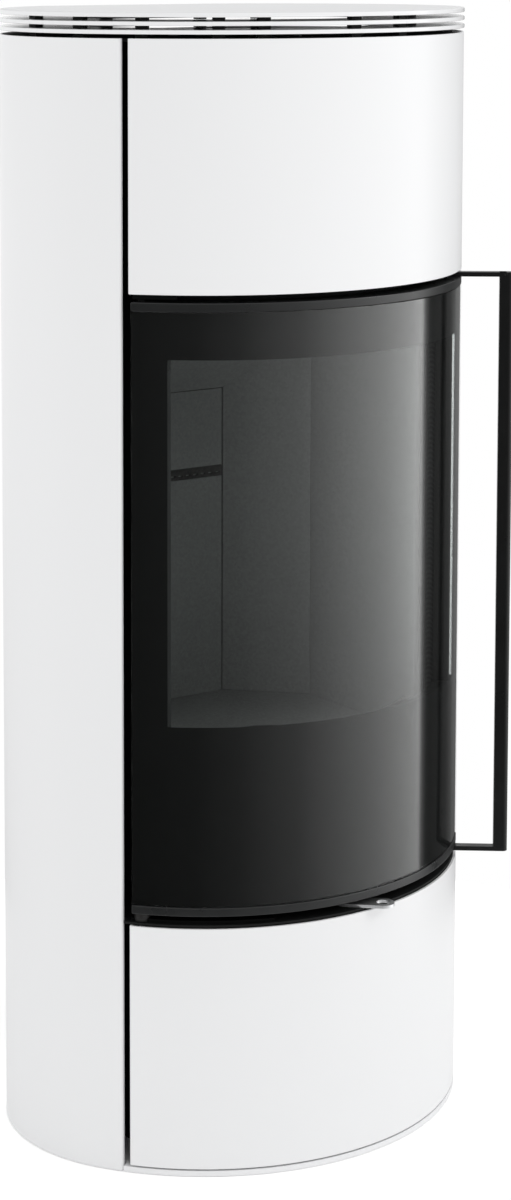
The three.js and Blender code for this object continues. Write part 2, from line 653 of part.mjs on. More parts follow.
function makeStorage() {
  const front = FRONT_DEPTH - STORAGE_SETBACK;
  const back = DUCT_FRONT_Y - STORAGE_DUCT_GAP;
  const top = MIDDLE_PLATE_BOTTOM - GAP;
  const inside = STORAGE_HALF_WIDTH - STORAGE_WALL;
  piece(stove, 'storage_box', cut(
    block(-STORAGE_HALF_WIDTH, STORAGE_HALF_WIDTH, -front, back, BASE_TOP, top),
    block(-inside, inside, -front - SLOT, back - STORAGE_WALL, BASE_TOP - SLOT, top + SLOT),
  ), blackPaint());

  piece(storageDoor, 'storage_door_panel', foldedPanel(STORAGE_DOOR_BOTTOM, STORAGE_DOOR_TOP,
    STORAGE_DOOR_BOTTOM - SLOT, STORAGE_DOOR_TOP + SLOT), whitePaint());

  const linerBottom = STORAGE_DOOR_BOTTOM + LINER_MARGIN;
  const linerTop = STORAGE_DOOR_TOP - LINER_MARGIN;
  const trayAngle = LINER_ANGLE - arcAngle(LINER_SHEET);
  const keeperAngle = arcAngle(KEEPER_HALF_WIDTH);
  const tray = cut(
    frontBand(PANEL_INNER, LINER_DEPTH, -LINER_ANGLE, LINER_ANGLE, linerBottom, linerTop),
    frontBand(PANEL_INNER + LINER_SHEET, LINER_DEPTH + SLOT, -trayAngle, trayAngle,
      linerBottom + LINER_SHEET, linerTop - LINER_SHEET),
    rod(hingePoint(), STORAGE_PIN_RADIUS + GAP, linerBottom - SLOT, linerTop + SLOT),
  );
  const keeper = frontBand(PANEL_INNER + LINER_SHEET / 2, KEEPER_BACK, LATCH_ANGLE - keeperAngle,
    LATCH_ANGLE + keeperAngle, LATCH_HEIGHT - KEEPER_HALF_WIDTH, linerTop);
  piece(storageDoor, 'storage_door_liner', join(tray, keeper), blackPaint());

  const pinReach = LINER_SHEET + LINER_MARGIN;
  piece(stove, 'storage_hinge_pin_bottom', rod(hingePoint(), STORAGE_PIN_RADIUS,
    SLOT + GAP, linerBottom + pinReach), brightSteel());
  piece(stove, 'storage_hinge_pin_top', rod(hingePoint(), STORAGE_PIN_RADIUS,
    linerTop - pinReach, MIDDLE_PLATE_TOP), brightSteel());
}

function makePushLatch() {
  const latch = placedGroup(stove, 0, FRONT_CENTRE, LATCH_HEIGHT, LATCH_ANGLE);
  const half = LATCH_WIDTH / 2;
  const front = LATCH_FRONT - FRONT_RADIUS;
  const plungerBack = PLUNGER_BACK - FRONT_RADIUS;
  piece(latch, 'push_latch_body', cut(
    block(-half, half, front, LATCH_BACK - FRONT_RADIUS, -half, LATCH_DROP),
    lyingRod(PLUNGER_RADIUS + GAP, front - SLOT, plungerBack + half / 2, ROUND_SIDES),
  ), blackPaint());
  piece(latch, 'push_latch_plunger', lyingRod(PLUNGER_RADIUS, KEEPER_BACK + GAP - FRONT_RADIUS,
    plungerBack, ROUND_SIDES), brightSteel());
}

// ---- Air supply ----------------------------------------------------------------------------

function makeMiddlePlate() {
  const below = MIDDLE_PLATE_BOTTOM - SLOT;
  const above = MIDDLE_PLATE_TOP + SLOT;
  const port = block(-DUCT_PORT_HALF_WIDTH, DUCT_PORT_HALF_WIDTH,
    DUCT_FRONT_Y + DUCT_WALL, AIR_BOX_BACK - AIR_BOX_WALL, below, above);
  piece(stove, 'middle_plate', cut(
    prism(plateOutline(PANEL_INNER, NOTCH_START), MIDDLE_PLATE_BOTTOM, MIDDLE_PLATE_TOP),
    port,
    rod(pivotPoint(), VALVE_SHAFT_RADIUS + GAP, below, above),
    rod(hingePoint(), STORAGE_PIN_RADIUS + GAP, below, above),
  ), blackPaint());
}

function makeAirDuct() {
  const bottom = SPIGOT_HEIGHT - SPIGOT_RISE;
  const top = MIDDLE_PLATE_BOTTOM - GAP;
  const inside = DUCT_HALF_WIDTH - DUCT_WALL;
  const wall = INNER_BACK - DUCT_WALL;
  piece(stove, 'air_inlet_duct', cut(
    join(
      block(-DUCT_HALF_WIDTH, DUCT_HALF_WIDTH, DUCT_FRONT_Y, INNER_BACK, bottom, top),
      lyingRod(SPIGOT_RADIUS, wall + DUCT_WALL / 2, SPIGOT_END, FLUE_SIDES, 0, SPIGOT_HEIGHT),
    ),
    block(-inside, inside, DUCT_FRONT_Y + DUCT_WALL, wall, bottom + DUCT_WALL, top + SLOT),
    lyingRod(SPIGOT_RADIUS - DUCT_WALL, wall - SLOT, SPIGOT_END + SLOT, FLUE_SIDES,
      0, SPIGOT_HEIGHT),
  ), blackPaint());
}

function makeAirControl() {
  const control = placedGroup(stove, 0, -LEVER_PIVOT_Y, RECESS_FLOOR);
  const discTop = CASING_BOTTOM - GAP - RECESS_FLOOR;
  const discBottom = discTop - VALVE_DISC_THICKNESS;
  const shaftBottom = MIDDLE_PLATE_BOTTOM - RECESS_FLOOR;
  const shaftTop = CASING_FLOOR_TOP - RECESS_FLOOR;
  const elbow = new THREE.Vector2(LEVER_ELBOW[0], -LEVER_ELBOW[1]);
  const tip = new THREE.Vector2(LEVER_TIP[0], -LEVER_TIP[1]);
  const shaftHole = rod(MIDDLE, VALVE_SHAFT_RADIUS + GAP, shaftBottom, shaftTop);
  piece(control, 'air_lever', cut(
    join(
      rod(MIDDLE, LEVER_HUB_RADIUS, 0, LEVER_THICKNESS),
      roundedBar(MIDDLE, elbow, LEVER_WIDTH, 0, LEVER_THICKNESS),
      roundedBar(elbow, tip, LEVER_TAB_WIDTH, 0, LEVER_THICKNESS),
    ),
    rod(tip, LEVER_HOLE_RADIUS, -SLOT, LEVER_THICKNESS + SLOT),
    shaftHole,
  ), brightSteel());
  piece(control, 'air_valve_disc', cut(
    rod(MIDDLE, VALVE_DISC_RADIUS, discBottom, discTop),
    ...valvePorts(MIDDLE, discBottom - SLOT, discTop + SLOT),
    shaftHole,
  ), castIron());
  piece(control, 'air_valve_shaft', rod(MIDDLE, VALVE_SHAFT_RADIUS, shaftBottom, shaftTop),
    brightSteel());
}

function valvePorts(centre, bottom, top) {
  const ports = [];
  for (let i = 0; i < VALVE_PORTS; i++) {
    const turn = 2 * Math.PI * i / VALVE_PORTS;
    const offset = new THREE.Vector2(Math.sin(turn), Math.cos(turn)).multiplyScalar(VALVE_PORT_CIRCLE);
    ports.push(rod(offset.add(centre), VALVE_PORT_RADIUS, bottom, top));
  }
  return ports;
}

function makeAirBox() {
  const inside = AIR_BOX_HALF_WIDTH - AIR_BOX_WALL;
  const wallTop = CASING_BOTTOM - GAP;
  const swing = Math.tan(THREE.MathUtils.degToRad(LEVER_SWING));
  const slotReach = (AIR_BOX_FRONT - LEVER_PIVOT_Y) * swing;
  piece(stove, 'air_box', cut(
    block(-AIR_BOX_HALF_WIDTH, AIR_BOX_HALF_WIDTH, -AIR_BOX_FRONT, AIR_BOX_BACK,
      RECESS_FLOOR, wallTop),
    block(-inside, inside, -AIR_BOX_FRONT + AIR_BOX_WALL, AIR_BOX_BACK - AIR_BOX_WALL,
      RECESS_FLOOR - SLOT, wallTop + SLOT),
    block(-slotReach - LEVER_WIDTH, LEVER_WIDTH + LEVER_ELBOW[0], -AIR_BOX_FRONT - SLOT,
      -AIR_BOX_FRONT + AIR_BOX_WALL + SLOT, RECESS_FLOOR - SLOT, RECESS_FLOOR + LEVER_THICKNESS + SLOT),
  ), blackPaint());
}

// ---- Firebox -------------------------------------------------------------------------------

// Plan of the firebox walls, moved outwards, from the front right round the back to the front left.
function fireboxPath(outwards, front) {
  const slope = outwards * Math.tan(Math.PI / 8);
  const right = [
    new THREE.Vector2(FIREBOX_HALF_WIDTH + outwards, front),
    new THREE.Vector2(FIREBOX_HALF_WIDTH + outwards, FIREBOX_CORNER_Y + slope),
    new THREE.Vector2(FIREBOX_BACK_HALF_WIDTH + slope, FIREBOX_BACK + outwards),
  ];
  return [...right, ...mirrored(right)];
}

// The firebox plan closed by the curve of the front frame.
function fireboxPlan(outwards, frontDepth) {
  const halfWidth = FIREBOX_HALF_WIDTH + outwards;
  const angle = THREE.MathUtils.radToDeg(Math.asin(halfWidth / (FRONT_RADIUS - frontDepth)));
  const front = ovalPoint(angle, frontDepth).y;
  return [...fireboxPath(outwards, front), ...ovalArc(frontDepth, -angle, angle).slice(1, -1)];
}

function makeCasing() {
  const outer = LINING + GAP + CASING_WALL;
  const inner = LINING + GAP;
  const wallBottom = CASING_FLOOR_TOP + GAP;
  const shelfTop = FLOOR_LINING_BOTTOM - GAP;
  const shelfBottom = shelfTop - CASING_SHELF;
  const walls = cut(
    prism(fireboxPlan(outer, BEHIND_FRONT_FRAME), wallBottom, CASING_TOP),
    prism(fireboxPlan(inner, 0), wallBottom - SLOT, CASING_TOP - CASING_WALL),
  );
  const shelf = cut(
    prism(fireboxPlan(inner + CASING_WALL / 2, BEHIND_FRONT_FRAME), shelfBottom, shelfTop),
    prism(fireboxPlan(-CASING_SHELF_BORDER, CASING_SHELF_BORDER + BEHIND_FRONT_FRAME),
      shelfBottom - SLOT, shelfTop + SLOT),
  );
  const flueHole = lyingRod(FLUE_RADIUS + GAP, FIREBOX_BACK, CASING_BACK + SLOT, FLUE_SIDES,
    0, FLUE_HEIGHT);
  piece(stove, 'firebox_casing', cut(join(walls, shelf), flueHole), blackPaint());

  const railOuter = PAN_HALF_WIDTH - PAN_RAIL_INSET;
  const railInner = railOuter - PAN_RAIL_WIDTH;
  const railFront = -frontReach(BEHIND_FRONT_FRAME, PAN_HALF_WIDTH);
  const rail = (left, right) => block(left, right, railFront, PAN_BACK,
    CASING_FLOOR_TOP - SLOT, PAN_BOTTOM - GAP);
  piece(stove, 'casing_bottom', cut(
    join(
      prism(fireboxPlan(outer, BEHIND_FRONT_FRAME), CASING_BOTTOM, CASING_FLOOR_TOP),
      rail(railInner, railOuter),
      rail(-railOuter, -railInner),
    ),
    ...valvePorts(pivotPoint(), CASING_BOTTOM - SLOT, CASING_FLOOR_TOP + SLOT),
    rod(pivotPoint(), VALVE_SHAFT_RADIUS + GAP, CASING_BOTTOM - SLOT, CASING_FLOOR_TOP + SLOT),
  ), blackPaint());
}

function makeFrontFrame() {
  const front = FRONT_FRAME_FRONT - SLOT;
  const back = FRONT_FRAME_BACK + SLOT;
  piece(stove, 'front_frame', cut(
    frontBand(FRONT_FRAME_FRONT, FRONT_FRAME_BACK, -FRONT_FRAME_ANGLE, FRONT_FRAME_ANGLE,
      CASING_BOTTOM, CASING_TOP),
    frontBand(front, back, -FIRE_OPENING_ANGLE, FIRE_OPENING_ANGLE,
      FIRE_OPENING_BOTTOM, SIDE_LINING_TOP - FIRE_OPENING_HEAD),
    frontBand(front, back, -ASH_OPENING_ANGLE, ASH_OPENING_ANGLE,
      ASH_OPENING_BOTTOM, ASH_OPENING_TOP),
  ), blackPaint());
}

function makeFlueCollar() {
  const inner = FLUE_RADIUS - FLUE_WALL;
  const flange = FLUE_RADIUS + FLUE_FLANGE;
  const seat = CASING_BACK + GAP;
  const start = CASING_BACK - CASING_WALL;
  piece(stove, 'flue_collar', turned([
    [inner, start], [FLUE_RADIUS, start], [FLUE_RADIUS, seat], [flange, seat],
    [flange, seat + FLUE_FLANGE_THICKNESS], [FLUE_RADIUS, seat + FLUE_FLANGE_THICKNESS],
    [FLUE_RADIUS, FLUE_END], [inner, FLUE_END], [inner, start],
  ], FLUE_SIDES), castIron()).position.z = FLUE_HEIGHT;
}

function makeLinings() {
  const front = LINING_END_GAP - frontReach(BEHIND_FRONT_FRAME, FIREBOX_HALF_WIDTH + LINING);
  const inner = fireboxPath(0, front);
  const outer = fireboxPath(LINING, front);
  const bevelBack = front + LINING_BEVEL_LENGTH;
  const bevelSide = FIREBOX_HALF_WIDTH + LINING_BEVEL_WIDTH;
  const bevel = [
    new THREE.Vector2(FIREBOX_HALF_WIDTH, bevelBack),
    new THREE.Vector2(bevelSide, front),
    new THREE.Vector2(bevelSide, front - SLOT),
    new THREE.Vector2(FIREBOX_HALF_WIDTH - SLOT, front - SLOT),
    new THREE.Vector2(FIREBOX_HALF_WIDTH - SLOT, bevelBack),
  ];
  const bevels = [bevel, mirrored(bevel)].map((plan) => prism(plan, FIREBOX_FLOOR, CASING_TOP));
  const groove = block(-FIREBOX_BACK_HALF_WIDTH, FIREBOX_BACK_HALF_WIDTH, FIREBOX_BACK - SLOT,
    FIREBOX_BACK + AIR_BAR_DEPTH + GAP, AIR_BAR_BOTTOM - GAP, AIR_BAR_BOTTOM + AIR_BAR_HEIGHT + GAP);
  const names = ['side_lining_right', 'corner_lining_right', 'back_lining',
    'corner_lining_left', 'side_lining_left'];
  names.forEach((name, i) => {
    const back = name === 'back_lining';
    const joint = back ? BACK_BRICK_JOINT : GAP / 2;
    const along = inner[i + 1].clone().sub(inner[i]).normalize().multiplyScalar(joint);
    const brick = prism([
      inner[i].clone().add(along),
      outer[i].clone().add(along),
      outer[i + 1].clone().sub(along),
      inner[i + 1].clone().sub(along),
    ], LINING_BOTTOM, back ? BACK_LINING_TOP : SIDE_LINING_TOP);
    piece(stove, name, cut(brick, ...bevels, groove), fireBrick());
  });

  piece(stove, 'floor_lining', cut(
    prism(fireboxPlan(LINING, BEHIND_FRONT_FRAME), FLOOR_LINING_BOTTOM, FIREBOX_FLOOR),
    rod(gratePoint(), GRATE_RADIUS + GAP, FIREBOX_FLOOR - GRATE_THICKNESS, FIREBOX_FLOOR + SLOT),
    rod(gratePoint(), GRATE_RADIUS - GRATE_LEDGE, FLOOR_LINING_BOTTOM - SLOT, FIREBOX_FLOOR),
  ), fireBrick());
  piece(stove, 'log_retainer', frontBand(RETAINER_DEPTH, RETAINER_DEPTH + RETAINER_THICKNESS,
    -RETAINER_ANGLE, RETAINER_ANGLE, 0, RETAINER_HEIGHT), castIron()).position.z = LINING_BOTTOM;
}

function makeGrate() {
  const height = GRATE_THICKNESS - GAP;
  const reach = GRATE_RADIUS - 2 * GRATE_LEDGE;
  const slots = [];
  for (let offset = -reach + GRATE_BAR_PITCH / 2; offset < reach; offset += GRATE_BAR_PITCH) {
    const half = Math.sqrt(reach ** 2 - offset ** 2);
    slots.push(block(-half, half, offset - GRATE_SLOT_WIDTH / 2, offset + GRATE_SLOT_WIDTH / 2,
      -SLOT, height + SLOT));
  }
  piece(stove, 'grate', cut(rod(MIDDLE, GRATE_RADIUS, 0, height), ...slots), castIron())
    .position.set(0, -GRATE_Y, FIREBOX_FLOOR - height);
}

function makeBaffles() {
  const back = FIREBOX_BACK - GAP;
  const front = FIREBOX_BACK - BAFFLE_REACH;
  const backBottom = BACK_LINING_TOP + GAP;
  const frontBottom = SIDE_LINING_TOP - BAFFLE_DROP;
  const profile = [
    new THREE.Vector2(back, backBottom),
    new THREE.Vector2(front, frontBottom),
    new THREE.Vector2(front, frontBottom + BAFFLE_THICKNESS),
    new THREE.Vector2(back, backBottom + BAFFLE_THICKNESS),
  ];
  const slab = new THREE.ExtrudeGeometry(new THREE.Shape(profile), {
    depth: 2 * FIREBOX_HALF_WIDTH,
    bevelEnabled: false,
  });
  slab.rotateX(Math.PI / 2).rotateZ(Math.PI / 2).translate(-FIREBOX_HALF_WIDTH, 0, 0);
  const room = prism(fireboxPath(-GAP, front), FIREBOX_FLOOR, CASING_TOP);
  piece(stove, 'lower_baffle', solid(slab).intersect(room), fireBrick());

  const halfWidth = FIREBOX_HALF_WIDTH + LINING;
  const upperFront = frontReach(BEHIND_FRONT_FRAME + CASING_WALL, halfWidth);
  piece(stove, 'upper_baffle', block(-halfWidth, halfWidth, -upperFront,
    FIREBOX_CORNER_Y + UPPER_BAFFLE_LAP, 0, UPPER_BAFFLE_THICKNESS), fireBrick())
    .position.z = SIDE_LINING_TOP + GAP;
}

function makeAirBar() {
  const half = FIREBOX_BACK_HALF_WIDTH - BACK_BRICK_JOINT;
  const halfHole = AIR_BAR_HOLE_LENGTH / 2;
  const holes = [];
  for (let i = 0; i < AIR_BAR_HOLES; i++) {
    const x = 2 * half * ((i + 0.5) / AIR_BAR_HOLES - 0.5);
    holes.push(block(x - halfHole, x + halfHole, -SLOT, AIR_BAR_DEPTH + SLOT,
      AIR_BAR_HOLE_RISE, AIR_BAR_HOLE_RISE + AIR_BAR_HOLE_HEIGHT));
  }
  piece(stove, 'secondary_air_bar', cut(
    block(-half, half, 0, AIR_BAR_DEPTH, 0, AIR_BAR_HEIGHT),
    ...holes,
  ), castIron()).position.set(0, FIREBOX_BACK, AIR_BAR_BOTTOM);
}

function makeAshPan() {
  const front = PAN_DOOR_GAP - frontReach(DOOR_FRAME_DEPTH, PAN_HALF_WIDTH);
  const height = ASH_OPENING_TOP - PAN_HEADROOM - PAN_BOTTOM;
  const inside = PAN_HALF_WIDTH - PAN_SHEET;
  piece(stove, 'ash_pan', cut(
    block(-PAN_HALF_WIDTH, PAN_HALF_WIDTH, front, PAN_BACK, 0, height),
    block(-inside, inside, front + PAN_SHEET, PAN_BACK - PAN_SHEET, PAN_SHEET, height + SLOT),
  ), blackPaint()).position.z = PAN_BOTTOM;
}

// ---- Glass door ----------------------------------------------------------------------------

function makeDoor() {
  const glassBottom = DOOR_BOTTOM + RIM_HEIGHT + GAP;
  const glassTop = DOOR_TOP - RIM_HEIGHT - GAP;
  const frameFront = GLASS_INSET + GLASS_THICKNESS + GAP;
  const frameAngle = DOOR_ANGLE - DOOR_FRAME_INSET;
  const rim = frontBand(0, RIM_DEPTH, -DOOR_ANGLE, DOOR_ANGLE, 0, RIM_HEIGHT);
  const seat = HINGE_PIN_SEAT + GAP;
  const pinHole = (bottom, top) => rod(hingePoint(), HINGE_PIN_RADIUS + GAP, bottom, top);
  piece(glassDoor, 'door_rim_bottom', cut(rim, pinHole(-SLOT, seat)), rimPaint())
    .position.z = DOOR_BOTTOM;
  piece(glassDoor, 'door_rim_top', cut(rim, pinHole(RIM_HEIGHT - seat, RIM_HEIGHT + SLOT)),
    rimPaint()).position.z = DOOR_TOP - RIM_HEIGHT;
  piece(glassDoor, 'door_glass', frontBand(GLASS_INSET, GLASS_INSET + GLASS_THICKNESS,
    -DOOR_ANGLE, DOOR_ANGLE, glassBottom, glassTop), glassPane());

  const behind = DOOR_FRAME_DEPTH + SLOT;
  piece(glassDoor, 'door_frame', cut(
    frontBand(frameFront, DOOR_FRAME_DEPTH, -frameAngle, frameAngle, glassBottom, glassTop),
    frontBand(0, behind, -WINDOW_ANGLE, WINDOW_ANGLE, WINDOW_BOTTOM, WINDOW_TOP),
    frontBand(frameFront + DOOR_TRAY_SKIN, behind, -DOOR_TRAY_ANGLE, DOOR_TRAY_ANGLE,
      DOOR_BOTTOM + DOOR_TRAY_RISE, WINDOW_BOTTOM - DOOR_TRAY_RAIL),
  ), blackPaint());

  const stripOuter = WINDOW_ANGLE - arcAngle(GAP);
  const stripInner = stripOuter - arcAngle(STRIP_WIDTH);
  const stripBack = frameFront + STRIP_DEPTH;
  const strip = [
    ovalPoint(stripOuter, frameFront),
    ovalPoint(stripOuter, stripBack),
    ovalPoint(stripInner, stripBack),
    ovalPoint(stripInner, stripBack - STRIP_EDGE),
  ];
  piece(glassDoor, 'glass_strip_right', prism(strip, WINDOW_BOTTOM + GAP, WINDOW_TOP - GAP),
    brightSteel());
  piece(glassDoor, 'glass_strip_left', prism(mirrored(strip), WINDOW_BOTTOM + GAP, WINDOW_TOP - GAP),
    brightSteel());

  const sealOuter = FRONT_FRAME_ANGLE - GASKET_MARGIN;
  const sealInner = sealOuter - GASKET_BAND;
  const sealBack = FRONT_FRAME_FRONT - GASKET_SEAT;
  const sealBottom = DOOR_BOTTOM + GASKET_RISE;
  const sealTop = DOOR_TOP - GASKET_DROP;
  piece(glassDoor, 'door_gasket', cut(
    frontBand(DOOR_FRAME_DEPTH + GAP, sealBack, -sealOuter, sealOuter, sealBottom, sealTop),
    frontBand(DOOR_FRAME_DEPTH - SLOT, sealBack + SLOT, -sealInner, sealInner,
      sealBottom + GASKET_HEIGHT, sealTop - GASKET_HEIGHT),
  ), ropeSeal());
}

function makeHinges() {
  const plateTop = RECESS_FLOOR + HINGE_PLATE_THICKNESS;
  const bushingTop = DOOR_BOTTOM - GAP;
  const plateLeft = HINGE_ANGLE + arcAngle(HINGE_PLATE_END);
  piece(stove, 'hinge_plate_bottom', cut(
    frontBand(HINGE_PLATE_FRONT, HINGE_PLATE_BACK, -plateLeft, -HINGE_PLATE_RIGHT,
      RECESS_FLOOR, plateTop),
    rod(hingePoint(), BUSHING_RADIUS + GAP, RECESS_FLOOR - SLOT, plateTop + SLOT),
  ), blackPaint());
  piece(stove, 'hinge_bushing', cut(
    rod(hingePoint(), BUSHING_RADIUS, RECESS_FLOOR, bushingTop),
    rod(hingePoint(), HINGE_PIN_RADIUS + GAP, RECESS_FLOOR - SLOT, bushingTop + SLOT),
  ), bronze());
  piece(glassDoor, 'hinge_pin_bottom', rod(hingePoint(), HINGE_PIN_RADIUS,
    RECESS_FLOOR, DOOR_BOTTOM + HINGE_PIN_SEAT), blackPaint());

  const bracketTop = UPPER_PANEL_BOTTOM - SLOT;
  const bracketBottom = bracketTop - HINGE_BRACKET_THICKNESS;
  const bracketBack = FRONT_FRAME_FRONT - GAP;
  piece(stove, 'hinge_bracket_top', cut(
    join(
      frontBand(HINGE_BRACKET_FRONT, bracketBack, -HINGE_BRACKET_LEFT, -HINGE_BRACKET_RIGHT,
        bracketBottom, bracketTop),
      frontBand(bracketBack - HINGE_BRACKET_THICKNESS, bracketBack, -FRONT_FRAME_ANGLE,
        -HINGE_BRACKET_RIGHT, bracketBottom, bracketTop + HINGE_BRACKET_RISE),
    ),
    rod(hingePoint(), HINGE_PIN_RADIUS + GAP, bracketBottom - SLOT, bracketTop + SLOT),
  ), blackPaint());
  piece(glassDoor, 'hinge_pin_top', rod(hingePoint(), HINGE_PIN_RADIUS,
    DOOR_TOP - HINGE_PIN_SEAT, bracketTop), blackPaint());
}

function makeCatch() {
  const roller = new THREE.Vector2(CASING_HALF_WIDTH + ROLLER_STANDOFF,
    ROLLER_SETBACK - frontReach(FRONT_FRAME_BACK, CASING_HALF_WIDTH));
  const place = placedGroup(stove, roller.x, roller.y, CATCH_HEIGHT);
  const half = ROLLER_LENGTH / 2;
  const earFrom = half + GAP;
  const earTo = earFrom + BRACKET_SHEET;
  const plateFrom = GAP - ROLLER_STANDOFF;
  const earEnd = ROLLER_RADIUS - GAP;
  const ear = (bottom, top) => block(plateFrom, earEnd, -ROLLER_RADIUS, ROLLER_RADIUS, bottom, top);
  piece(place, 'catch_bracket', join(
    block(plateFrom, plateFrom + BRACKET_SHEET, -2 * ROLLER_RADIUS, 2 * ROLLER_RADIUS, -earTo, earTo),
    ear(-earTo, -earFrom),
    ear(earFrom, earTo),
    rod(MIDDLE, ROLLER_PIN_RADIUS, -earTo + GAP, earTo - GAP),
  ), blackPaint());
  piece(place, 'catch_roller', cut(
    rod(MIDDLE, ROLLER_RADIUS, -half, half),
    rod(MIDDLE, ROLLER_PIN_RADIUS + GAP, -half - SLOT, half + SLOT),
  ), brightSteel());

  const strikeFrom = roller.x + ROLLER_RADIUS + 2 * GAP;
  const behindDoorFrame = rod(new THREE.Vector2(0, FRONT_CENTRE),
    FRONT_RADIUS - DOOR_FRAME_DEPTH - GAP, 0, BODY_HEIGHT, 2 * 180 / ARC_STEP);
  piece(glassDoor, 'door_strike', block(strikeFrom, strikeFrom + STRIKE_THICKNESS,
    roller.y - STRIKE_LENGTH, roller.y + ROLLER_RADIUS,
    CATCH_HEIGHT - STRIKE_HEIGHT / 2, CATCH_HEIGHT + STRIKE_HEIGHT / 2).intersect(behindDoorFrame),
  brightSteel());
}

function makeHandle() {
  const root = ovalPoint(HANDLE_ROOT_ANGLE, HANDLE_ROOT_DEPTH);
  const place = placedGroup(glassDoor, root.x, root.y, DOOR_BOTTOM - GAP - HANDLE_ARM_THICKNESS,
    HANDLE_DIRECTION);
  const height = DOOR_TOP - DOOR_BOTTOM + 2 * (GAP + HANDLE_ARM_THICKNESS);
  const halfDepth = HANDLE_BAR_DEPTH / 2;
  const halfWidth = HANDLE_BAR_WIDTH / 2;
  const outline = [];
  for (let i = 0; i <= HANDLE_ROUND_SIDES; i++) {
    const turn = Math.PI * i / HANDLE_ROUND_SIDES;
    const forwards = HANDLE_REACH + halfDepth - halfWidth * (1 - Math.sin(turn));
    outline.push(new THREE.Vector2(halfWidth * Math.cos(turn), -forwards));
  }
  outline.push(new THREE.Vector2(-halfWidth, halfDepth - HANDLE_REACH));
  outline.push(new THREE.Vector2(halfWidth, halfDepth - HANDLE_REACH));
  const halfArm = HANDLE_ARM_WIDTH / 2;
  const arm = (bottom) => block(-halfArm, halfArm, -HANDLE_REACH, halfArm,
    bottom, bottom + HANDLE_ARM_THICKNESS);
  piece(place, 'door_handle', join(
    prism(outline, 0, height),
    arm(0),
    arm(height - HANDLE_ARM_THICKNESS),
  ), blackPaint());
}

// ---- Vented top ----------------------------------------------------------------------------

function makeTop() {
  const armReach = HALF_WIDTH - RING_WIDTH - TOP_ARM_LAP;
  const legX = CASING_HALF_WIDTH - TOP_LEG_INSET;
  const legs = [[-1, -1], [1, -1], [-1, 1], [1, 1]].map(([sideways, back]) =>
    squareLeg(sideways * legX, back * TOP_LEG_Y, CASING_TOP + GAP, TOP_FRAME_BOTTOM + SLOT));
  const arms = [-1, 1].map((back) => block(-armReach, armReach, back * TOP_LEG_Y - TOP_LEG / 2,
    back * TOP_LEG_Y + TOP_LEG / 2, TOP_FRAME_BOTTOM, TOP_FRAME_TOP));
  const notch = FRONT_PANEL_ANGLE - arcAngle(PANEL_SHEET + GAP);
  const frame = cut(
    prism(plateOutline(PANEL_INNER, notch), TOP_FRAME_BOTTOM, TOP_FRAME_TOP),
    topOpening(TOP_FRAME_BOTTOM, TOP_FRAME_TOP),
  );
  piece(stove, 'top_frame', join(frame, ...legs, ...arms), blackPaint());

  const ring = cut(topOval(RING_THICKNESS), topOpening(0, RING_THICKNESS));
  const lowerSpacers = spacers(LOWER_RING_BOTTOM - TOP_FRAME_TOP - GAP);
  const upperSpacers = spacers(TOP_SLOT - GAP);
  piece(stove, 'vent_ring_lower', join(ring, ...lowerSpacers), whitePaint())
    .position.z = LOWER_RING_BOTTOM;
  piece(stove, 'vent_ring_upper', join(ring, ...upperSpacers), whitePaint())
    .position.z = UPPER_RING_BOTTOM;
  piece(stove, 'top_plate', join(topOval(TOP_PLATE_THICKNESS), ...upperSpacers), whitePaint())
    .position.z = TOP_PLATE_BOTTOM;
}

function squareLeg(x, y, bottom, top) {
  const half = TOP_LEG / 2;
  return block(x - half, x + half, y - half, y + half, bottom, top);
}

function topOval(thickness) {
  return prism(ovalOutline(-TOP_OVERHANG, BACK_DEPTH), 0, thickness);
}

function topOpening(bottom, top) {
  return prism(ovalOutline(RING_WIDTH, BACK_DEPTH - RING_WIDTH), bottom - SLOT, top + SLOT);
}

// Small blocks under a top plate, spread round the oval, that keep the layers apart.
function spacers(drop) {
  const round = SPACER_ANGLES.map((angle) => {
    const outer = ovalPoint(angle, SPACER_INSET);
    const inner = ovalPoint(angle, SPACER_INSET + SPACER_LENGTH);
    const across = outer.clone().sub(inner).normalize().multiplyScalar(SPACER_WIDTH / 2);
    const side = new THREE.Vector2(-across.y, across.x);
    return prism([
      inner.clone().sub(side),
      outer.clone().sub(side),
      outer.clone().add(side),
      inner.clone().add(side),
    ], -drop, SLOT);
  });
  const back = BACK_DEPTH - SPACER_INSET;
  const half = SPACER_WIDTH / 2;
  const straight = BACK_SPACERS.map((x) =>
    block(x - half, x + half, back - SPACER_LENGTH, back, -drop, SLOT));
  return [...round, ...straight];
}

makeBase();
makeSidePanels();
makeBackPanel();
makeUpperPanel();
makeStorage();
makePushLatch();
makeMiddlePlate();
makeAirDuct();
makeAirControl();
makeAirBox();
makeCasing();
makeFrontFrame();
makeFlueCollar();
makeLinings();
makeGrate();
makeBaffles();
makeAirBar();
makeAshPan();
makeDoor();
makeHinges();
makeCatch();
makeHandle();
makeTop();

export default stove;
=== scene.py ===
import json
import math

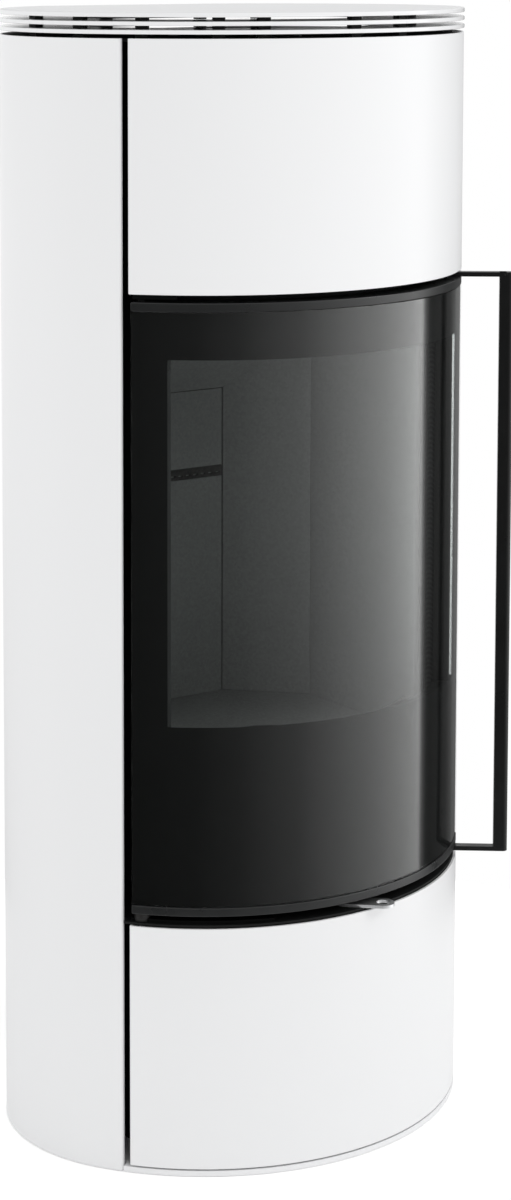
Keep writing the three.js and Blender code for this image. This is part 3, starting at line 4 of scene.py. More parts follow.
import bmesh
import bpy
from mathutils import Euler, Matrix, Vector

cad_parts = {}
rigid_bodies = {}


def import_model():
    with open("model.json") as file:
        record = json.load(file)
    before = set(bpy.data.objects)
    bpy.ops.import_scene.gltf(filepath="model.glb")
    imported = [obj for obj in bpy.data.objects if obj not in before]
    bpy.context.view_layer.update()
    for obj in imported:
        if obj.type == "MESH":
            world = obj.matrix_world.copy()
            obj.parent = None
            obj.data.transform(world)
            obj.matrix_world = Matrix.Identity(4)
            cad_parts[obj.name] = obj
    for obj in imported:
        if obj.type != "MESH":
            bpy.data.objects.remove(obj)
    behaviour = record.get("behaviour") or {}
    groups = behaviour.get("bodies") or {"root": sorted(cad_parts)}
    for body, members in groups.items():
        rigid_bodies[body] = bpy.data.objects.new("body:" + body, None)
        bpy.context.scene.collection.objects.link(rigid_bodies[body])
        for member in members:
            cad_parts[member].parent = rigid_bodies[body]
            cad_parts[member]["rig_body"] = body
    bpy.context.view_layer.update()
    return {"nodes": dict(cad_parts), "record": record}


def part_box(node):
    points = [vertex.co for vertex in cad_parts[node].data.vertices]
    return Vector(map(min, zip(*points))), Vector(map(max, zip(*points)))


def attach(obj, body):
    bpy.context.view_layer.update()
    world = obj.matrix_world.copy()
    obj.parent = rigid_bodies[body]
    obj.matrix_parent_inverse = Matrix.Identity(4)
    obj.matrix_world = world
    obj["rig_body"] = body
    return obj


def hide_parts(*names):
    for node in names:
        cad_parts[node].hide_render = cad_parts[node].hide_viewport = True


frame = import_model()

# ---- Sizes, in metres and degrees ----------------------------------------------------------------

# The oval outline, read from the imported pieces.
HALF_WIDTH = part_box("side_panel_right")[1].x
BACK_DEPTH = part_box("side_panel_right")[1].y
FRONT_DEPTH = -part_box("upper_front_panel")[0].y
JUNCTION_ANGLE = 56.84              # where the front arc meets the side arc
JUNCTION = math.radians(JUNCTION_ANGLE)
RADIUS_STEP = (HALF_WIDTH - FRONT_DEPTH) / (math.sin(JUNCTION) + math.cos(JUNCTION) - 1)
SIDE_CENTRE = RADIUS_STEP * math.sin(JUNCTION)
SIDE_RADIUS = HALF_WIDTH - SIDE_CENTRE
FRONT_CENTRE = RADIUS_STEP * math.cos(JUNCTION)
FRONT_RADIUS = FRONT_DEPTH + FRONT_CENTRE

ARC_STEP = 1.0                      # one facet of a large arc covers at most this angle
GAP = 0.0003                        # between pieces that touch
OVERCUT = 0.001                     # how far a cutting shape runs past what it cuts

SHEET = 0.0025                      # white panels
FOLD_RADIUS = 0.0026                # rounding of a panel's folded edge
FOLD_STEPS = 6
SIDE_PANEL_ANGLE = 51.6             # front edge of a side panel
SIDE_LIP_DEPTH = 0.006              # its lip towards the inside
BACK_FLANGE = 0.028                 # its flange along the back
FRONT_PANEL_ANGLE = 50.15           # side edges of the front panels
FRONT_FOLD_DEPTH = 0.012
PANEL_EDGE = 0.0006                 # rounding of a cut sheet edge

RING_WIDTH = 0.078                  # vented top
RING_THICKNESS = 0.004
TOP_PLATE_THICKNESS = 0.0045
PLATE_EDGE = 0.0009
SPACER_ANGLES = (-147, -88.8, -65.7, -47.7, -31.3, -21.6, 0, 14, 95, 122, 147)
BACK_SPACERS = (-0.045, 0.075)      # places along the flat back
SPACER_WIDTH = 0.012
SPACER_LENGTH = 0.008
SPACER_INSET = 0.0088               # from the oval back to a spacer's outer face
SPACER_EDGE = 0.0005

DOOR_ANGLE = 49.6                   # glass door, side edges
RIM_DEPTH = 0.026
RIM_EDGE = 0.0009
GLASS_INSET = 0.001                 # from the oval back to the pane's face
GLASS_THICKNESS = 0.004
GLASS_EDGE = 0.0005
PRINT_RIGHT = 42.3                  # clear window in the black print, from the front axis
PRINT_LEFT = 42
PRINT_THICKNESS = 0.00012
PRINT_GAP = 0.00006                 # from the pane's back to the print
PRINT_MARGIN = 0.007                # of the print's window within the height of the glass strips

HANDLE_ROOT_ANGLE = 46              # handle, where its arms start on the rims
HANDLE_ROOT_DEPTH = 0.012
HANDLE_DIRECTION = 52.8             # in which the arms point, from the front axis
HANDLE_REACH = 0.0586               # from the arms' start to the bar's middle
HANDLE_ARM_WIDTH = 0.010
HANDLE_ARM_THICKNESS = 0.0047
HANDLE_BAR_DEPTH = 0.0144
HANDLE_BAR_WIDTH = 0.010
HANDLE_ROUND_STEPS = 24             # facets of the bar's round front
HANDLE_EDGE = 0.0009

SEAL_FRONT = 0.0243                 # door seal, depth of its space behind the oval
SEAL_BACK = 0.0332
ROPE_RADIUS = 0.0043
ROPE_SIDES = 14
ROPE_CORNER = 0.014
ROPE_CORNER_STEPS = 8

# ---- Camera, at the photograph's viewpoint -------------------------------------------------------

CAMERA_PLACE = (-1.6414, -2.3341, 1.1930)
CAMERA_YAW = 34.149                 # degrees to the right of straight at the front
CAMERA_PITCH = 5.943                # degrees below level
CAMERA_LENS = 84.294
CAMERA_SHIFT = (0.05673, -0.30)


def make_camera():
    data = bpy.data.cameras.new("camera")
    data.lens = CAMERA_LENS
    data.shift_x, data.shift_y = CAMERA_SHIFT
    camera = bpy.data.objects.new("camera", data)
    camera.location = CAMERA_PLACE
    camera.rotation_euler = Euler((math.radians(90 - CAMERA_PITCH), 0, math.radians(-CAMERA_YAW)))
    bpy.context.scene.collection.objects.link(camera)
    bpy.context.scene.camera = camera


# ---- Outlines ------------------------------------------------------------------------------------


def arc_angle(length):
    """Angle that an arc length covers on the front outline."""
    return math.degrees(length / FRONT_RADIUS)


def oval_point(angle, depth):
    """A point of the oval, inset by depth, at an angle counted from the front axis to the right."""
    turn = math.radians(angle)
    away = abs(angle)
    centre = Vector((math.copysign(SIDE_CENTRE, angle), 0))
    radius = SIDE_RADIUS - depth
    if away <= JUNCTION_ANGLE:
        centre, radius = Vector((0, FRONT_CENTRE)), FRONT_RADIUS - depth
    if away >= 180 - JUNCTION_ANGLE:
        centre, radius = Vector((0, -FRONT_CENTRE)), FRONT_RADIUS - depth
    return centre + Vector((math.sin(turn), -math.cos(turn))) * radius


def back_angle(depth, back):
    """Angle at which the inset oval reaches a distance behind the middle."""
    return math.degrees(math.acos(-(back + FRONT_CENTRE) / (FRONT_RADIUS - depth)))


def oval_arc(depth, start, end):
    """Points along the inset oval between two angles, both on the right or on the front arc."""
    between = (stop for stop in (JUNCTION_ANGLE, 90, 180 - JUNCTION_ANGLE) if start < stop < end)
    stops = [start, *between, end]
    points = [oval_point(start, depth)]
    for first, last in zip(stops, stops[1:]):
        steps = math.ceil((last - first) / ARC_STEP)
        points += [oval_point(first + (last - first) * step / steps, depth)
                   for step in range(1, steps + 1)]
    return points


def mirrored(points):
    return [Vector((-point.x, point.y)) for point in reversed(points)]


def oval_outline(depth, back):
    """The whole inset oval, closed by a straight line at the back."""
    right = oval_arc(depth, 0, back_angle(depth, back))
    return mirrored(right[1:]) + right


def band(outer, inner, start, end):
    """Plan of a curved wall between two depths and two angles of the front arc."""
    return oval_arc(outer, start, end) + oval_arc(inner, start, end)[::-1]


def rounded(points, corners):
    """The closed outline, rounded at the points nearest to the corners: pairs of place and radius."""
    radii = {}
    for corner, radius in corners:
        nearest = min(range(len(points)), key=lambda i: (points[i] - corner).length)
        radii[nearest] = radius
    result = []
    for i, point in enumerate(points):
        radius = radii.get(i)
        if radius is None:
            result.append(point)
            continue
        result += corner_arc(points[i - 1], point, points[(i + 1) % len(points)], radius)
    return result


def corner_arc(before, corner, after, radius):
    """Points of the arc that rounds a corner."""
    to_before, to_after = (before - corner).normalized(), (after - corner).normalized()
    half = to_before.angle(to_after) / 2
    reach = radius / math.tan(half)
    centre = corner + (to_before + to_after).normalized() * (radius / math.sin(half))
    start, end = corner + to_before * reach - centre, corner + to_after * reach - centre
    points = []
    for step in range(FOLD_STEPS + 1):
        share = step / FOLD_STEPS
        points.append(centre + (start * (1 - share) + end * share).normalized() * radius)
    return points


# ---- Meshes --------------------------------------------------------------------------------------

SMOOTH_ANGLE = math.radians(32)     # faces that meet at less than this shade as one curve
BEVEL_ANGLE = math.radians(38)      # edges sharper than this are rounded
SAME_PLACE = 0.000002               # points nearer than this are one
SAME_PLANE = 0.002                  # faces that meet at less than this angle are one


def prism(outline, bottom, top):
    """A mesh object of an upright solid over a closed plan."""
    mesh = bpy.data.meshes.new("prism")
    count = len(outline)
    vertices = [(point.x, point.y, z) for z in (bottom, top) for point in outline]
    faces = [list(range(count)), list(range(count, 2 * count))]
    faces += [[i, (i + 1) % count, count + (i + 1) % count, count + i] for i in range(count)]
    mesh.from_pydata(vertices, [], faces)
    clean(mesh)
    return added(mesh)


def clean(mesh):
    """Joins points and faces that lie together, and turns all faces outwards."""
    work = bmesh.new()
    work.from_mesh(mesh)
    bmesh.ops.remove_doubles(work, verts=work.verts, dist=SAME_PLACE)
    bmesh.ops.dissolve_limit(work, angle_limit=SAME_PLANE, verts=work.verts, edges=work.edges)
    bmesh.ops.recalc_face_normals(work, faces=work.faces)
    work.to_mesh(mesh)
    work.free()


def added(mesh):
    piece = bpy.data.objects.new(mesh.name, mesh)
    bpy.context.scene.collection.objects.link(piece)
    return piece


def settled(piece):
    """Applies the piece's modifiers."""
    depsgraph = bpy.context.evaluated_depsgraph_get()
    mesh = bpy.data.meshes.new_from_object(piece.evaluated_get(depsgraph))
    piece.modifiers.clear()
    piece.data = mesh
    return piece


def combined(piece, operation, tools):
    """Cuts the tools from the piece or joins them to it, and removes them."""
    for tool in tools:
        modifier = piece.modifiers.new("combine", "BOOLEAN")
        modifier.operation = operation
        modifier.solver = "EXACT"
        modifier.object = tool
        settled(piece)
        bpy.data.objects.remove(tool)
    return piece


def cut(piece, *tools):
    return combined(piece, "DIFFERENCE", tools)


def joined(piece, *tools):
    return combined(piece, "UNION", tools)


def bevelled(piece, width, segments=3):
    modifier = piece.modifiers.new("edges", "BEVEL")
    modifier.width = width
    modifier.segments = segments
    modifier.limit_method = "ANGLE"
    modifier.angle_limit = BEVEL_ANGLE
    return settled(piece)


def smooth(piece):
    mesh = piece.data
    mesh.shade_smooth()
    mesh.set_sharp_from_angle(angle=SMOOTH_ANGLE)
    modifier = piece.modifiers.new("normals", "WEIGHTED_NORMAL")
    modifier.keep_sharp = True
    return settled(piece)


def fine_copy(node, edge):
    """A copy of a CAD node's mesh with rounded edges."""
    source = frame["nodes"][node].data
    mesh = bpy.data.meshes.new(node)
    mesh.from_pydata([v.co for v in source.vertices], [], [list(p.vertices) for p in source.polygons])
    clean(mesh)
    return bevelled(added(mesh), edge, 2)


def dress(piece, name, node, slot=None, material=None, replaces=True):
    """Names a piece, gives it its finish and lets it ride on its CAD body in the node's place."""
    smooth(piece)
    piece.name = name
    piece.data.name = name
    slot = slot or SLOT_OF[node]
    piece.data.materials.clear()
    piece.data.materials.append(material or MATERIALS[slot])
    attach(piece, frame["nodes"][node]["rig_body"])
    if replaces:
        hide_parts(node)
    return piece


# ---- Materials -----------------------------------------------------------------------------------


class Finish:
    """A procedural material built on one Principled shader, in object coordinates."""

    def __init__(self, name, colour, roughness, metallic=0.0, specular=0.5):
        self.material = bpy.data.materials.new(name)
        self.material.use_nodes = True
        self.tree = self.material.node_tree
        self.shader = self.tree.nodes["Principled BSDF"]
        self.shader.inputs["Base Color"].default_value = (*colour, 1)
        self.shader.inputs["Roughness"].default_value = roughness
        self.shader.inputs["Metallic"].default_value = metallic
        self.shader.inputs["Specular IOR Level"].default_value = specular
        self.normal = None
        self.material.diffuse_color = (*colour, 1)

    def node(self, kind, **values):
        node = self.tree.nodes.new(kind)
        for key, value in values.items():
            setattr(node, key, value)
        return node

    def link(self, source, target):
        self.tree.links.new(source, target)

    def place(self, stretch=(1, 1, 1)):
        coordinates = self.node("ShaderNodeTexCoord")
        mapping = self.node("ShaderNodeMapping")
        mapping.inputs["Scale"].default_value = stretch
        self.link(coordinates.outputs["Object"], mapping.inputs["Vector"])
        return mapping.outputs["Vector"]

    def noise(self, scale, detail=3.0, stretch=(1, 1, 1)):
        noise = self.node("ShaderNodeTexNoise")
        noise.inputs["Scale"].default_value = scale
        noise.inputs["Detail"].default_value = detail
        self.link(self.place(stretch), noise.inputs["Vector"])
        return noise.outputs["Fac"]

    def cells(self, scale):
        cells = self.node("ShaderNodeTexVoronoi")
        cells.inputs["Scale"].default_value = scale
        self.link(self.place(), cells.inputs["Vector"])
        return cells

    def spread(self, factor, low, high, start=0.3, end=0.7):
        """The factor, which runs mostly from start to end, as a number from low to high."""
        spread = self.node("ShaderNodeMapRange")
        for key, value in (("From Min", start), ("From Max", end), ("To Min", low), ("To Max", high)):
            spread.inputs[key].default_value = value
        self.link(factor, spread.inputs["Value"])
        return spread.outputs["Result"]

    def mixed(self, factor, first, second):
        """Two colours, or colour sockets, mixed by a factor from 0 to 1."""
        mix = self.node("ShaderNodeMix", data_type="RGBA")
        self.link(factor, mix.inputs["Factor"])
        for socket, colour in ((mix.inputs[6], first), (mix.inputs[7], second)):
            if isinstance(colour, tuple):
                socket.default_value = (*colour, 1)
            else:
                self.link(colour, socket)
        return mix.outputs[2]

    def colour(self, socket):
        self.link(socket, self.shader.inputs["Base Color"])

    def roughness(self, socket):
        self.link(socket, self.shader.inputs["Roughness"])

    def bump(self, height, strength, distance):
        bump = self.node("ShaderNodeBump")
        bump.inputs["Strength"].default_value = strength
        bump.inputs["Distance"].default_value = distance
        self.link(height, bump.inputs["Height"])
        if self.normal is not None:
            self.link(self.normal, bump.inputs["Normal"])
        self.normal = bump.outputs["Normal"]
        self.link(self.normal, self.shader.inputs["Normal"])

    def edges(self, radius, sharpness):
        """A mask that is 1 along worn outer edges."""
        bevel = self.node("ShaderNodeBevel", samples=4)
        bevel.inputs["Radius"].default_value = radius
        geometry = self.node("ShaderNodeNewGeometry")
        dot = self.node("ShaderNodeVectorMath", operation="DOT_PRODUCT")
        self.link(bevel.outputs["Normal"], dot.inputs[0])
        self.link(geometry.outputs["Normal"], dot.inputs[1])
        return self.spread(dot.outputs["Value"], 1, 0, 1 - sharpness, 1)


def white_enamel(name="white_enamel", roughness=(0.28, 0.32), peel=0.012, specular=0.22, shade=0.88):
    """White lacquer, a touch cooler than grey, with the faint waves of a sprayed coat."""
    finish = Finish(name, (shade,) * 3, roughness[0], specular=specular)
    low, high = ((level * 0.992, level * 0.996, level * 1.004)
                 for level in (shade - 0.004, shade + 0.004))
    finish.colour(finish.mixed(finish.spread(finish.noise(2.5, 2), 0, 1), low, high))
    finish.roughness(finish.spread(finish.noise(14, 4), *roughness))
    finish.bump(finish.noise(420, 1), peel, 0.0003)
    return finish.material


def black_steel():
    finish = Finish("black_steel", (0.012, 0.0125, 0.0125), 0.6, specular=0.12)
    worn = finish.edges(0.0012, 0.12)
    grain = finish.noise(900, 2)
    base = finish.mixed(finish.spread(grain, 0, 1), (0.009, 0.0095, 0.0095), (0.016, 0.0165, 0.0165))
    finish.colour(finish.mixed(finish.spread(worn, 0, 0.5, 0.2, 1), base, (0.032, 0.0315, 0.031)))
    finish.roughness(finish.spread(finish.noise(60, 3), 0.5, 0.68))
    finish.bump(grain, 0.12, 0.0002)
    return finish.material


def satin_black(name, colour, roughness, specular):
    finish = Finish(name, colour, roughness, specular=specular)
    worn = finish.edges(0.001, 0.12)
    light = tuple(min(1, 2.2 * share + 0.02) for share in colour)
    smudge = finish.spread(finish.noise(25, 4), 0, 1)
    base = finish.mixed(smudge, colour, tuple(1.25 * share for share in colour))
    finish.colour(finish.mixed(finish.spread(worn, 0, 0.45, 0.2, 1), base, light))
    finish.roughness(finish.spread(finish.noise(32, 4), roughness - 0.05, roughness + 0.08))
    finish.bump(finish.noise(1200, 2), 0.05, 0.0001)
    return finish.material


def cast_iron():
    finish = Finish("cast_iron", (0.035, 0.034, 0.033), 0.75, metallic=0.4, specular=0.3)
    rough = finish.noise(260, 5)
    finish.colour(finish.mixed(finish.spread(rough, 0, 1), (0.022, 0.021, 0.021), (0.06, 0.058, 0.055)))
    finish.roughness(finish.spread(rough, 0.62, 0.88))
    finish.bump(rough, 0.5, 0.0006)
    return finish.material


def bright_steel(name="bright_steel", colours=(0.67, 0.83), roughness=(0.16, 0.34), stretch=(60, 2, 2)):
    finish = Finish(name, (colours[1],) * 3, roughness[0], metallic=1.0)
    lines = finish.noise(60, 3, stretch)
    dull, clear = ((shade - 0.01, shade, shade + 0.01) for shade in colours)
    finish.colour(finish.mixed(finish.spread(lines, 0, 1), dull, clear))
    finish.roughness(finish.spread(lines, *roughness))
    finish.bump(lines, 0.06, 0.0001)
    return finish.material


def fire_brick():
    finish = Finish("fire_brick", (0.2, 0.203, 0.203), 0.95, specular=0.15)
    flakes = finish.cells(420)
    grains = finish.noise(150, 5)
    soot = finish.noise(5, 3)
    flake = finish.spread(flakes.outputs["Color"], 0, 1, 0, 1)
    base = finish.mixed(flake, (0.175, 0.178, 0.178), (0.225, 0.228, 0.228))
    finish.colour(finish.mixed(finish.spread(soot, 0, 0.3), base, (0.12, 0.122, 0.122)))
    finish.roughness(finish.spread(grains, 0.88, 1.0))
    finish.bump(grains, 0.08, 0.0004)
    finish.bump(flakes.outputs["Distance"], 0.06, 0.0003)
    return finish.material


def rope_seal():
    finish = Finish("rope_seal", (0.036, 0.036, 0.037), 0.95, specular=0.05)
    wave = finish.node("ShaderNodeTexWave", bands_direction="DIAGONAL")
    wave.inputs["Scale"].default_value = 120
    wave.inputs["Distortion"].default_value = 2.5
    finish.link(finish.place(), wave.inputs["Vector"])
    threads = wave.outputs["Fac"]
    finish.colour(finish.mixed(threads, (0.028, 0.028, 0.029), (0.046, 0.046, 0.047)))
    finish.bump(threads, 0.4, 0.0006)
    finish.bump(finish.noise(1500, 3), 0.3, 0.0003)
    return finish.material


def bushing_bronze():
    finish = Finish("bushing", (0.024, 0.0235, 0.023), 0.4, metallic=0.5, specular=0.3)
    turned = finish.noise(90, 2, (1, 1, 30))
    finish.colour(finish.mixed(finish.spread(turned, 0, 1),
                               (0.03, 0.0295, 0.029), (0.055, 0.054, 0.053)))
    finish.roughness(finish.spread(turned, 0.3, 0.45))
    finish.bump(turned, 0.1, 0.0001)
    return finish.material


# Near-black matt finish, for the glass's print and as painted shade on the hinge bracket and plate.
def print_and_painted_shade_black():
    finish = Finish("print_and_painted_shade_black", (0.004, 0.0042, 0.0042), 0.7, specular=0.05)
    finish.colour(finish.mixed(finish.spread(finish.noise(2200, 2), 0, 1),
                               (0.003, 0.0032, 0.0032), (0.0055, 0.0058, 0.0058)))
    return finish.material


GLASS_IOR = 1.5
GLASS_TINT = (0.86, 0.88, 0.87)


def door_glass():
    """Clear ceramic glass that lets light into the firebox."""
    finish = Finish("door_glass", GLASS_TINT, 0.0)
    finish.shader.inputs["Transmission Weight"].default_value = 1
    finish.shader.inputs["IOR"].default_value = GLASS_IOR
    path = finish.node("ShaderNodeLightPath")
    passing = finish.node("ShaderNodeMath", operation="MAXIMUM")
    finish.link(path.outputs["Is Shadow Ray"], passing.inputs[0])
    finish.link(path.outputs["Is Diffuse Ray"], passing.inputs[1])
    clear = finish.node("ShaderNodeBsdfTransparent")
    clear.inputs["Color"].default_value = (*GLASS_TINT, 1)
    mix = finish.node("ShaderNodeMixShader")
    finish.link(passing.outputs[0], mix.inputs["Fac"])
    finish.link(finish.shader.outputs[0], mix.inputs[1])
    finish.link(clear.outputs[0], mix.inputs[2])
    finish.link(mix.outputs[0], finish.tree.nodes["Material Output"].inputs["Surface"])
    return finish.material


MATERIALS = {
    "white_enamel": white_enamel(),
    "black_steel": black_steel(),
    "rim_grey": satin_black("rim_grey", (0.012, 0.0128, 0.013), 0.3, 0.5),
    "handle_black": satin_black("handle_black", (0.006, 0.0062, 0.0062), 0.3, 0.3),
    "cast_iron": cast_iron(),
    "bright_steel": bright_steel(),
    "fire_brick": fire_brick(),
    "rope_seal": rope_seal(),
    "door_glass": door_glass(),
    "bushing": bushing_bronze(),
}
POLISHED_STEEL = bright_steel("polished_steel", (0.9, 0.96), (0.06, 0.1), (20, 20, 1))
SATIN_STEEL = bright_steel("satin_steel", (0.82, 0.94), (0.36, 0.48))
PLATE_ENAMEL = white_enamel("plate_enamel", (0.07, 0.12), 0.01)
# Painted shade: a darker enamel (shade 0.76 against 0.88) that stands in for the shade on the top
# plate's upper face.
TOP_PAINTED_SHADE_ENAMEL = white_enamel("top_enamel_painted_shade", (0.5, 0.6), 0.03, 0.04, 0.76)
PRINT_AND_SHADE_BLACK = print_and_painted_shade_black()

SLOT_OF = {part["node"]: part["material_slot"] for part in frame["record"]["subparts"]}


# ---- White panels --------------------------------------------------------------------------------


def folded_panel(node, hollow_bottom, hollow_top):
    """A curved sheet with rounded folds down both sides."""
    low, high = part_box(node)
    outline = band(0, FRONT_FOLD_DEPTH, -FRONT_PANEL_ANGLE, FRONT_PANEL_ANGLE)
    corners = [(oval_point(side * FRONT_PANEL_ANGLE, 0), FOLD_RADIUS) for side in (-1, 1)]
    panel = bevelled(prism(rounded(outline, corners), low.z, high.z), PANEL_EDGE)
    inside = FRONT_PANEL_ANGLE - arc_angle(SHEET)
    hollow = prism(band(SHEET, FRONT_FOLD_DEPTH + OVERCUT, -inside, inside),
                   low.z + hollow_bottom, high.z + hollow_top)
    return dress(cut(panel, hollow), node + "_skin", node)


def side_panel(node, side):
    low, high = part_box(node)
    outer_back = back_angle(0, BACK_DEPTH)
    inner_back = back_angle(SHEET, BACK_DEPTH - SHEET)
    lip_angle = SIDE_PANEL_ANGLE + arc_angle(SHEET)
    flange_end = oval_point(outer_back, 0).x - BACK_FLANGE
    outline = oval_arc(0, SIDE_PANEL_ANGLE, outer_back)
    outline += [Vector((flange_end, BACK_DEPTH)), Vector((flange_end, BACK_DEPTH - SHEET))]
    outline += oval_arc(SHEET, lip_angle, inner_back)[::-1]
    outline += [oval_point(lip_angle, SIDE_LIP_DEPTH), oval_point(SIDE_PANEL_ANGLE, SIDE_LIP_DEPTH)]
    outline = rounded(outline, [
        (oval_point(SIDE_PANEL_ANGLE, 0), FOLD_RADIUS),
        (oval_point(outer_back, 0), FOLD_RADIUS),
    ])
    if side < 0:
        outline = mirrored(outline)
    return dress(bevelled(prism(outline, low.z, high.z), PANEL_EDGE), node + "_skin", node)


def make_panels():
    folded_panel("upper_front_panel", SHEET, OVERCUT)
    folded_panel("storage_door_panel", -OVERCUT, OVERCUT)
    side_panel("side_panel_right", 1)
    side_panel("side_panel_left", -1)


# ---- Vented top ----------------------------------------------------------------------------------

UPWARD = 0.5                        # a face whose normal rises more than this looks up

def spacer_plans():
    ends = [[oval_point(angle, depth) for depth in (SPACER_INSET, SPACER_INSET + SPACER_LENGTH)]
            for angle in SPACER_ANGLES]
    back = BACK_DEPTH - SPACER_INSET
    ends += [[Vector((x, y)) for y in (back, back - SPACER_LENGTH)] for x in BACK_SPACERS]
    return [spacer_plan(outer, inner) for outer, inner in ends]


def spacer_plan(outer, inner):
    out = (outer - inner).normalized() * SPACER_WIDTH / 2
    side = Vector((-out.y, out.x))
    return [inner - side, outer - side, outer + side, inner + side]


def make_top_layer(node, thickness, opening):
    """A white top plate, and the black spacer blocks that carry it."""
    low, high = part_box(node)
    overhang = high.x - HALF_WIDTH
    bottom = high.z - thickness
    plate = prism(oval_outline(-overhang, BACK_DEPTH), bottom, high.z)
    if opening:
        plate = cut(plate, prism(oval_outline(RING_WIDTH, BACK_DEPTH - RING_WIDTH),
                                 bottom - OVERCUT, high.z + OVERCUT))
    plate = dress(bevelled(plate, PLATE_EDGE), node + "_skin", node, material=PLATE_ENAMEL)
    if not opening:
        # Painted shade: the top plate's upward faces get the darker enamel.
        paint_shade_on_upper_faces(plate, TOP_PAINTED_SHADE_ENAMEL)
    for i, plan in enumerate(spacer_plans()):
        block = bevelled(prism(plan, low.z, bottom), SPACER_EDGE)
        dress(block, f"{node}_spacer_{i}", node, slot="black_steel", replaces=False)


def paint_shade_on_upper_faces(piece, material):
    # Painted shade: the upward faces take the second, darker material.
    piece.data.materials.append(material)
    for face in piece.data.polygons:
        if face.normal.z > UPWARD:
            face.material_index = 1


def make_top():
    make_top_layer("vent_ring_lower", RING_THICKNESS, True)
    make_top_layer("vent_ring_upper", RING_THICKNESS, True)
    make_top_layer("top_plate", TOP_PLATE_THICKNESS, False)


# ---- Glass door ----------------------------------------------------------------------------------


def make_rims():
    for node in ("door_rim_bottom", "door_rim_top"):
        low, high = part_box(node)
        rim = bevelled(prism(band(0, RIM_DEPTH, -DOOR_ANGLE, DOOR_ANGLE), low.z, high.z), RIM_EDGE)
        dress(rim, node + "_skin", node)


def make_glass():
    low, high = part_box("door_glass")
    back = GLASS_INSET + GLASS_THICKNESS
    pane = prism(band(GLASS_INSET, back, -DOOR_ANGLE, DOOR_ANGLE), low.z, high.z)
    dress(bevelled(pane, GLASS_EDGE), "glass_pane", "door_glass")

    strip_low, strip_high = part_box("glass_strip_right")
    behind = back + PRINT_GAP
    layer = prism(band(behind, behind + PRINT_THICKNESS, -DOOR_ANGLE, DOOR_ANGLE), low.z, high.z)
    window = prism(band(GLASS_INSET, RIM_DEPTH, -PRINT_LEFT, PRINT_RIGHT),
                   strip_low.z + PRINT_MARGIN, strip_high.z - PRINT_MARGIN)
    dress(cut(layer, window), "glass_print", "door_glass", slot="black_steel",
          material=PRINT_AND_SHADE_BLACK, replaces=False)


def make_handle():
    low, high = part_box("door_handle")
    root = oval_point(HANDLE_ROOT_ANGLE, HANDLE_ROOT_DEPTH)
    turn = math.radians(HANDLE_DIRECTION)
    ahead, side = Vector((math.sin(turn), -math.cos(turn))), Vector((math.cos(turn), math.sin(turn)))

    def plan(points):
        return [root + ahead * forwards + side * sideways for sideways, forwards in points]

    half_depth, half_width = HANDLE_BAR_DEPTH / 2, HANDLE_BAR_WIDTH / 2
    front = []
    for step in range(HANDLE_ROUND_STEPS + 1):
        angle = math.pi * step / HANDLE_ROUND_STEPS
        front.append((half_width * math.cos(angle),
                      HANDLE_REACH + half_depth - half_width * (1 - math.sin(angle))))
    back = [(-half_width, HANDLE_REACH - half_depth), (half_width, HANDLE_REACH - half_depth)]
    bar = prism(plan(front + back), low.z, high.z)
    half_arm = HANDLE_ARM_WIDTH / 2
    arm = plan([(-half_arm, -half_arm), (half_arm, -half_arm),
                (half_arm, HANDLE_REACH), (-half_arm, HANDLE_REACH)])
    bar = joined(bar, prism(arm, low.z, low.z + HANDLE_ARM_THICKNESS),
                 prism(arm, high.z - HANDLE_ARM_THICKNESS, high.z))
    dress(bevelled(bar, HANDLE_EDGE), "door_handle_skin", "door_handle")


def make_seal():
    """The rope seal, a round braid along the door frame's inner face."""
    low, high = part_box("door_gasket")
    depth = (SEAL_FRONT + SEAL_BACK) / 2
    half = math.degrees(math.asin(high.x / (FRONT_RADIUS - SEAL_FRONT))) - arc_angle(ROPE_RADIUS + GAP)
    bottom, top = low.z + ROPE_RADIUS + GAP, high.z - ROPE_RADIUS - GAP
    corner = arc_angle(ROPE_CORNER)
    path = []
    corners = ((half, bottom, 0), (half, top, 90), (-half, top, 180), (-half, bottom, 270))
    for angle, height, turn in corners:
        across = angle - math.copysign(corner, angle)
        up = height + math.copysign(ROPE_CORNER, (bottom + top) / 2 - height)
        for step in range(ROPE_CORNER_STEPS + 1):
            phase = math.radians(turn - 90 + step * 90 / ROPE_CORNER_STEPS)
            path.append((across + corner * math.cos(phase), up + ROPE_CORNER * math.sin(phase)))
    curve = bpy.data.curves.new("door_seal", "CURVE")
    curve.dimensions = "3D"
    spline = curve.splines.new("POLY")
    points = []
    for (a, z), (b, w) in zip(path, path[1:] + path[:1]):
        steps = max(1, math.ceil(abs(b - a) / (2 * ARC_STEP)))
        points += [(a + (b - a) * i / steps, z + (w - z) * i / steps) for i in range(steps)]
    spline.points.add(len(points) - 1)
    for point, (angle, height) in zip(spline.points, points):
        plan = oval_point(angle, depth)
        point.co = (plan.x, plan.y, height, 1)
    spline.use_cyclic_u = True
    curve.bevel_depth = ROPE_RADIUS
    curve.bevel_resolution = (ROPE_SIDES - 4) // 2
    rope = bpy.data.objects.new("door_seal", curve)
    bpy.context.scene.collection.objects.link(rope)
    depsgraph = bpy.context.evaluated_depsgraph_get()
    mesh = bpy.data.meshes.new_from_object(rope.evaluated_get(depsgraph))
    bpy.data.objects.remove(rope)
    dress(added(mesh), "door_gasket_rope", "door_gasket")


# ---- Everything else keeps its CAD shape, with rounded edges -------------------------------------

# Rounding of the edges, by slot.
EDGES = {
    "fire_brick": 0.0012,
    "cast_iron": 0.0008,
    "bright_steel": 0.0004,
    "black_steel": 0.0004,
    "white_enamel": 0.0006,
    "bushing": 0.0005,
}

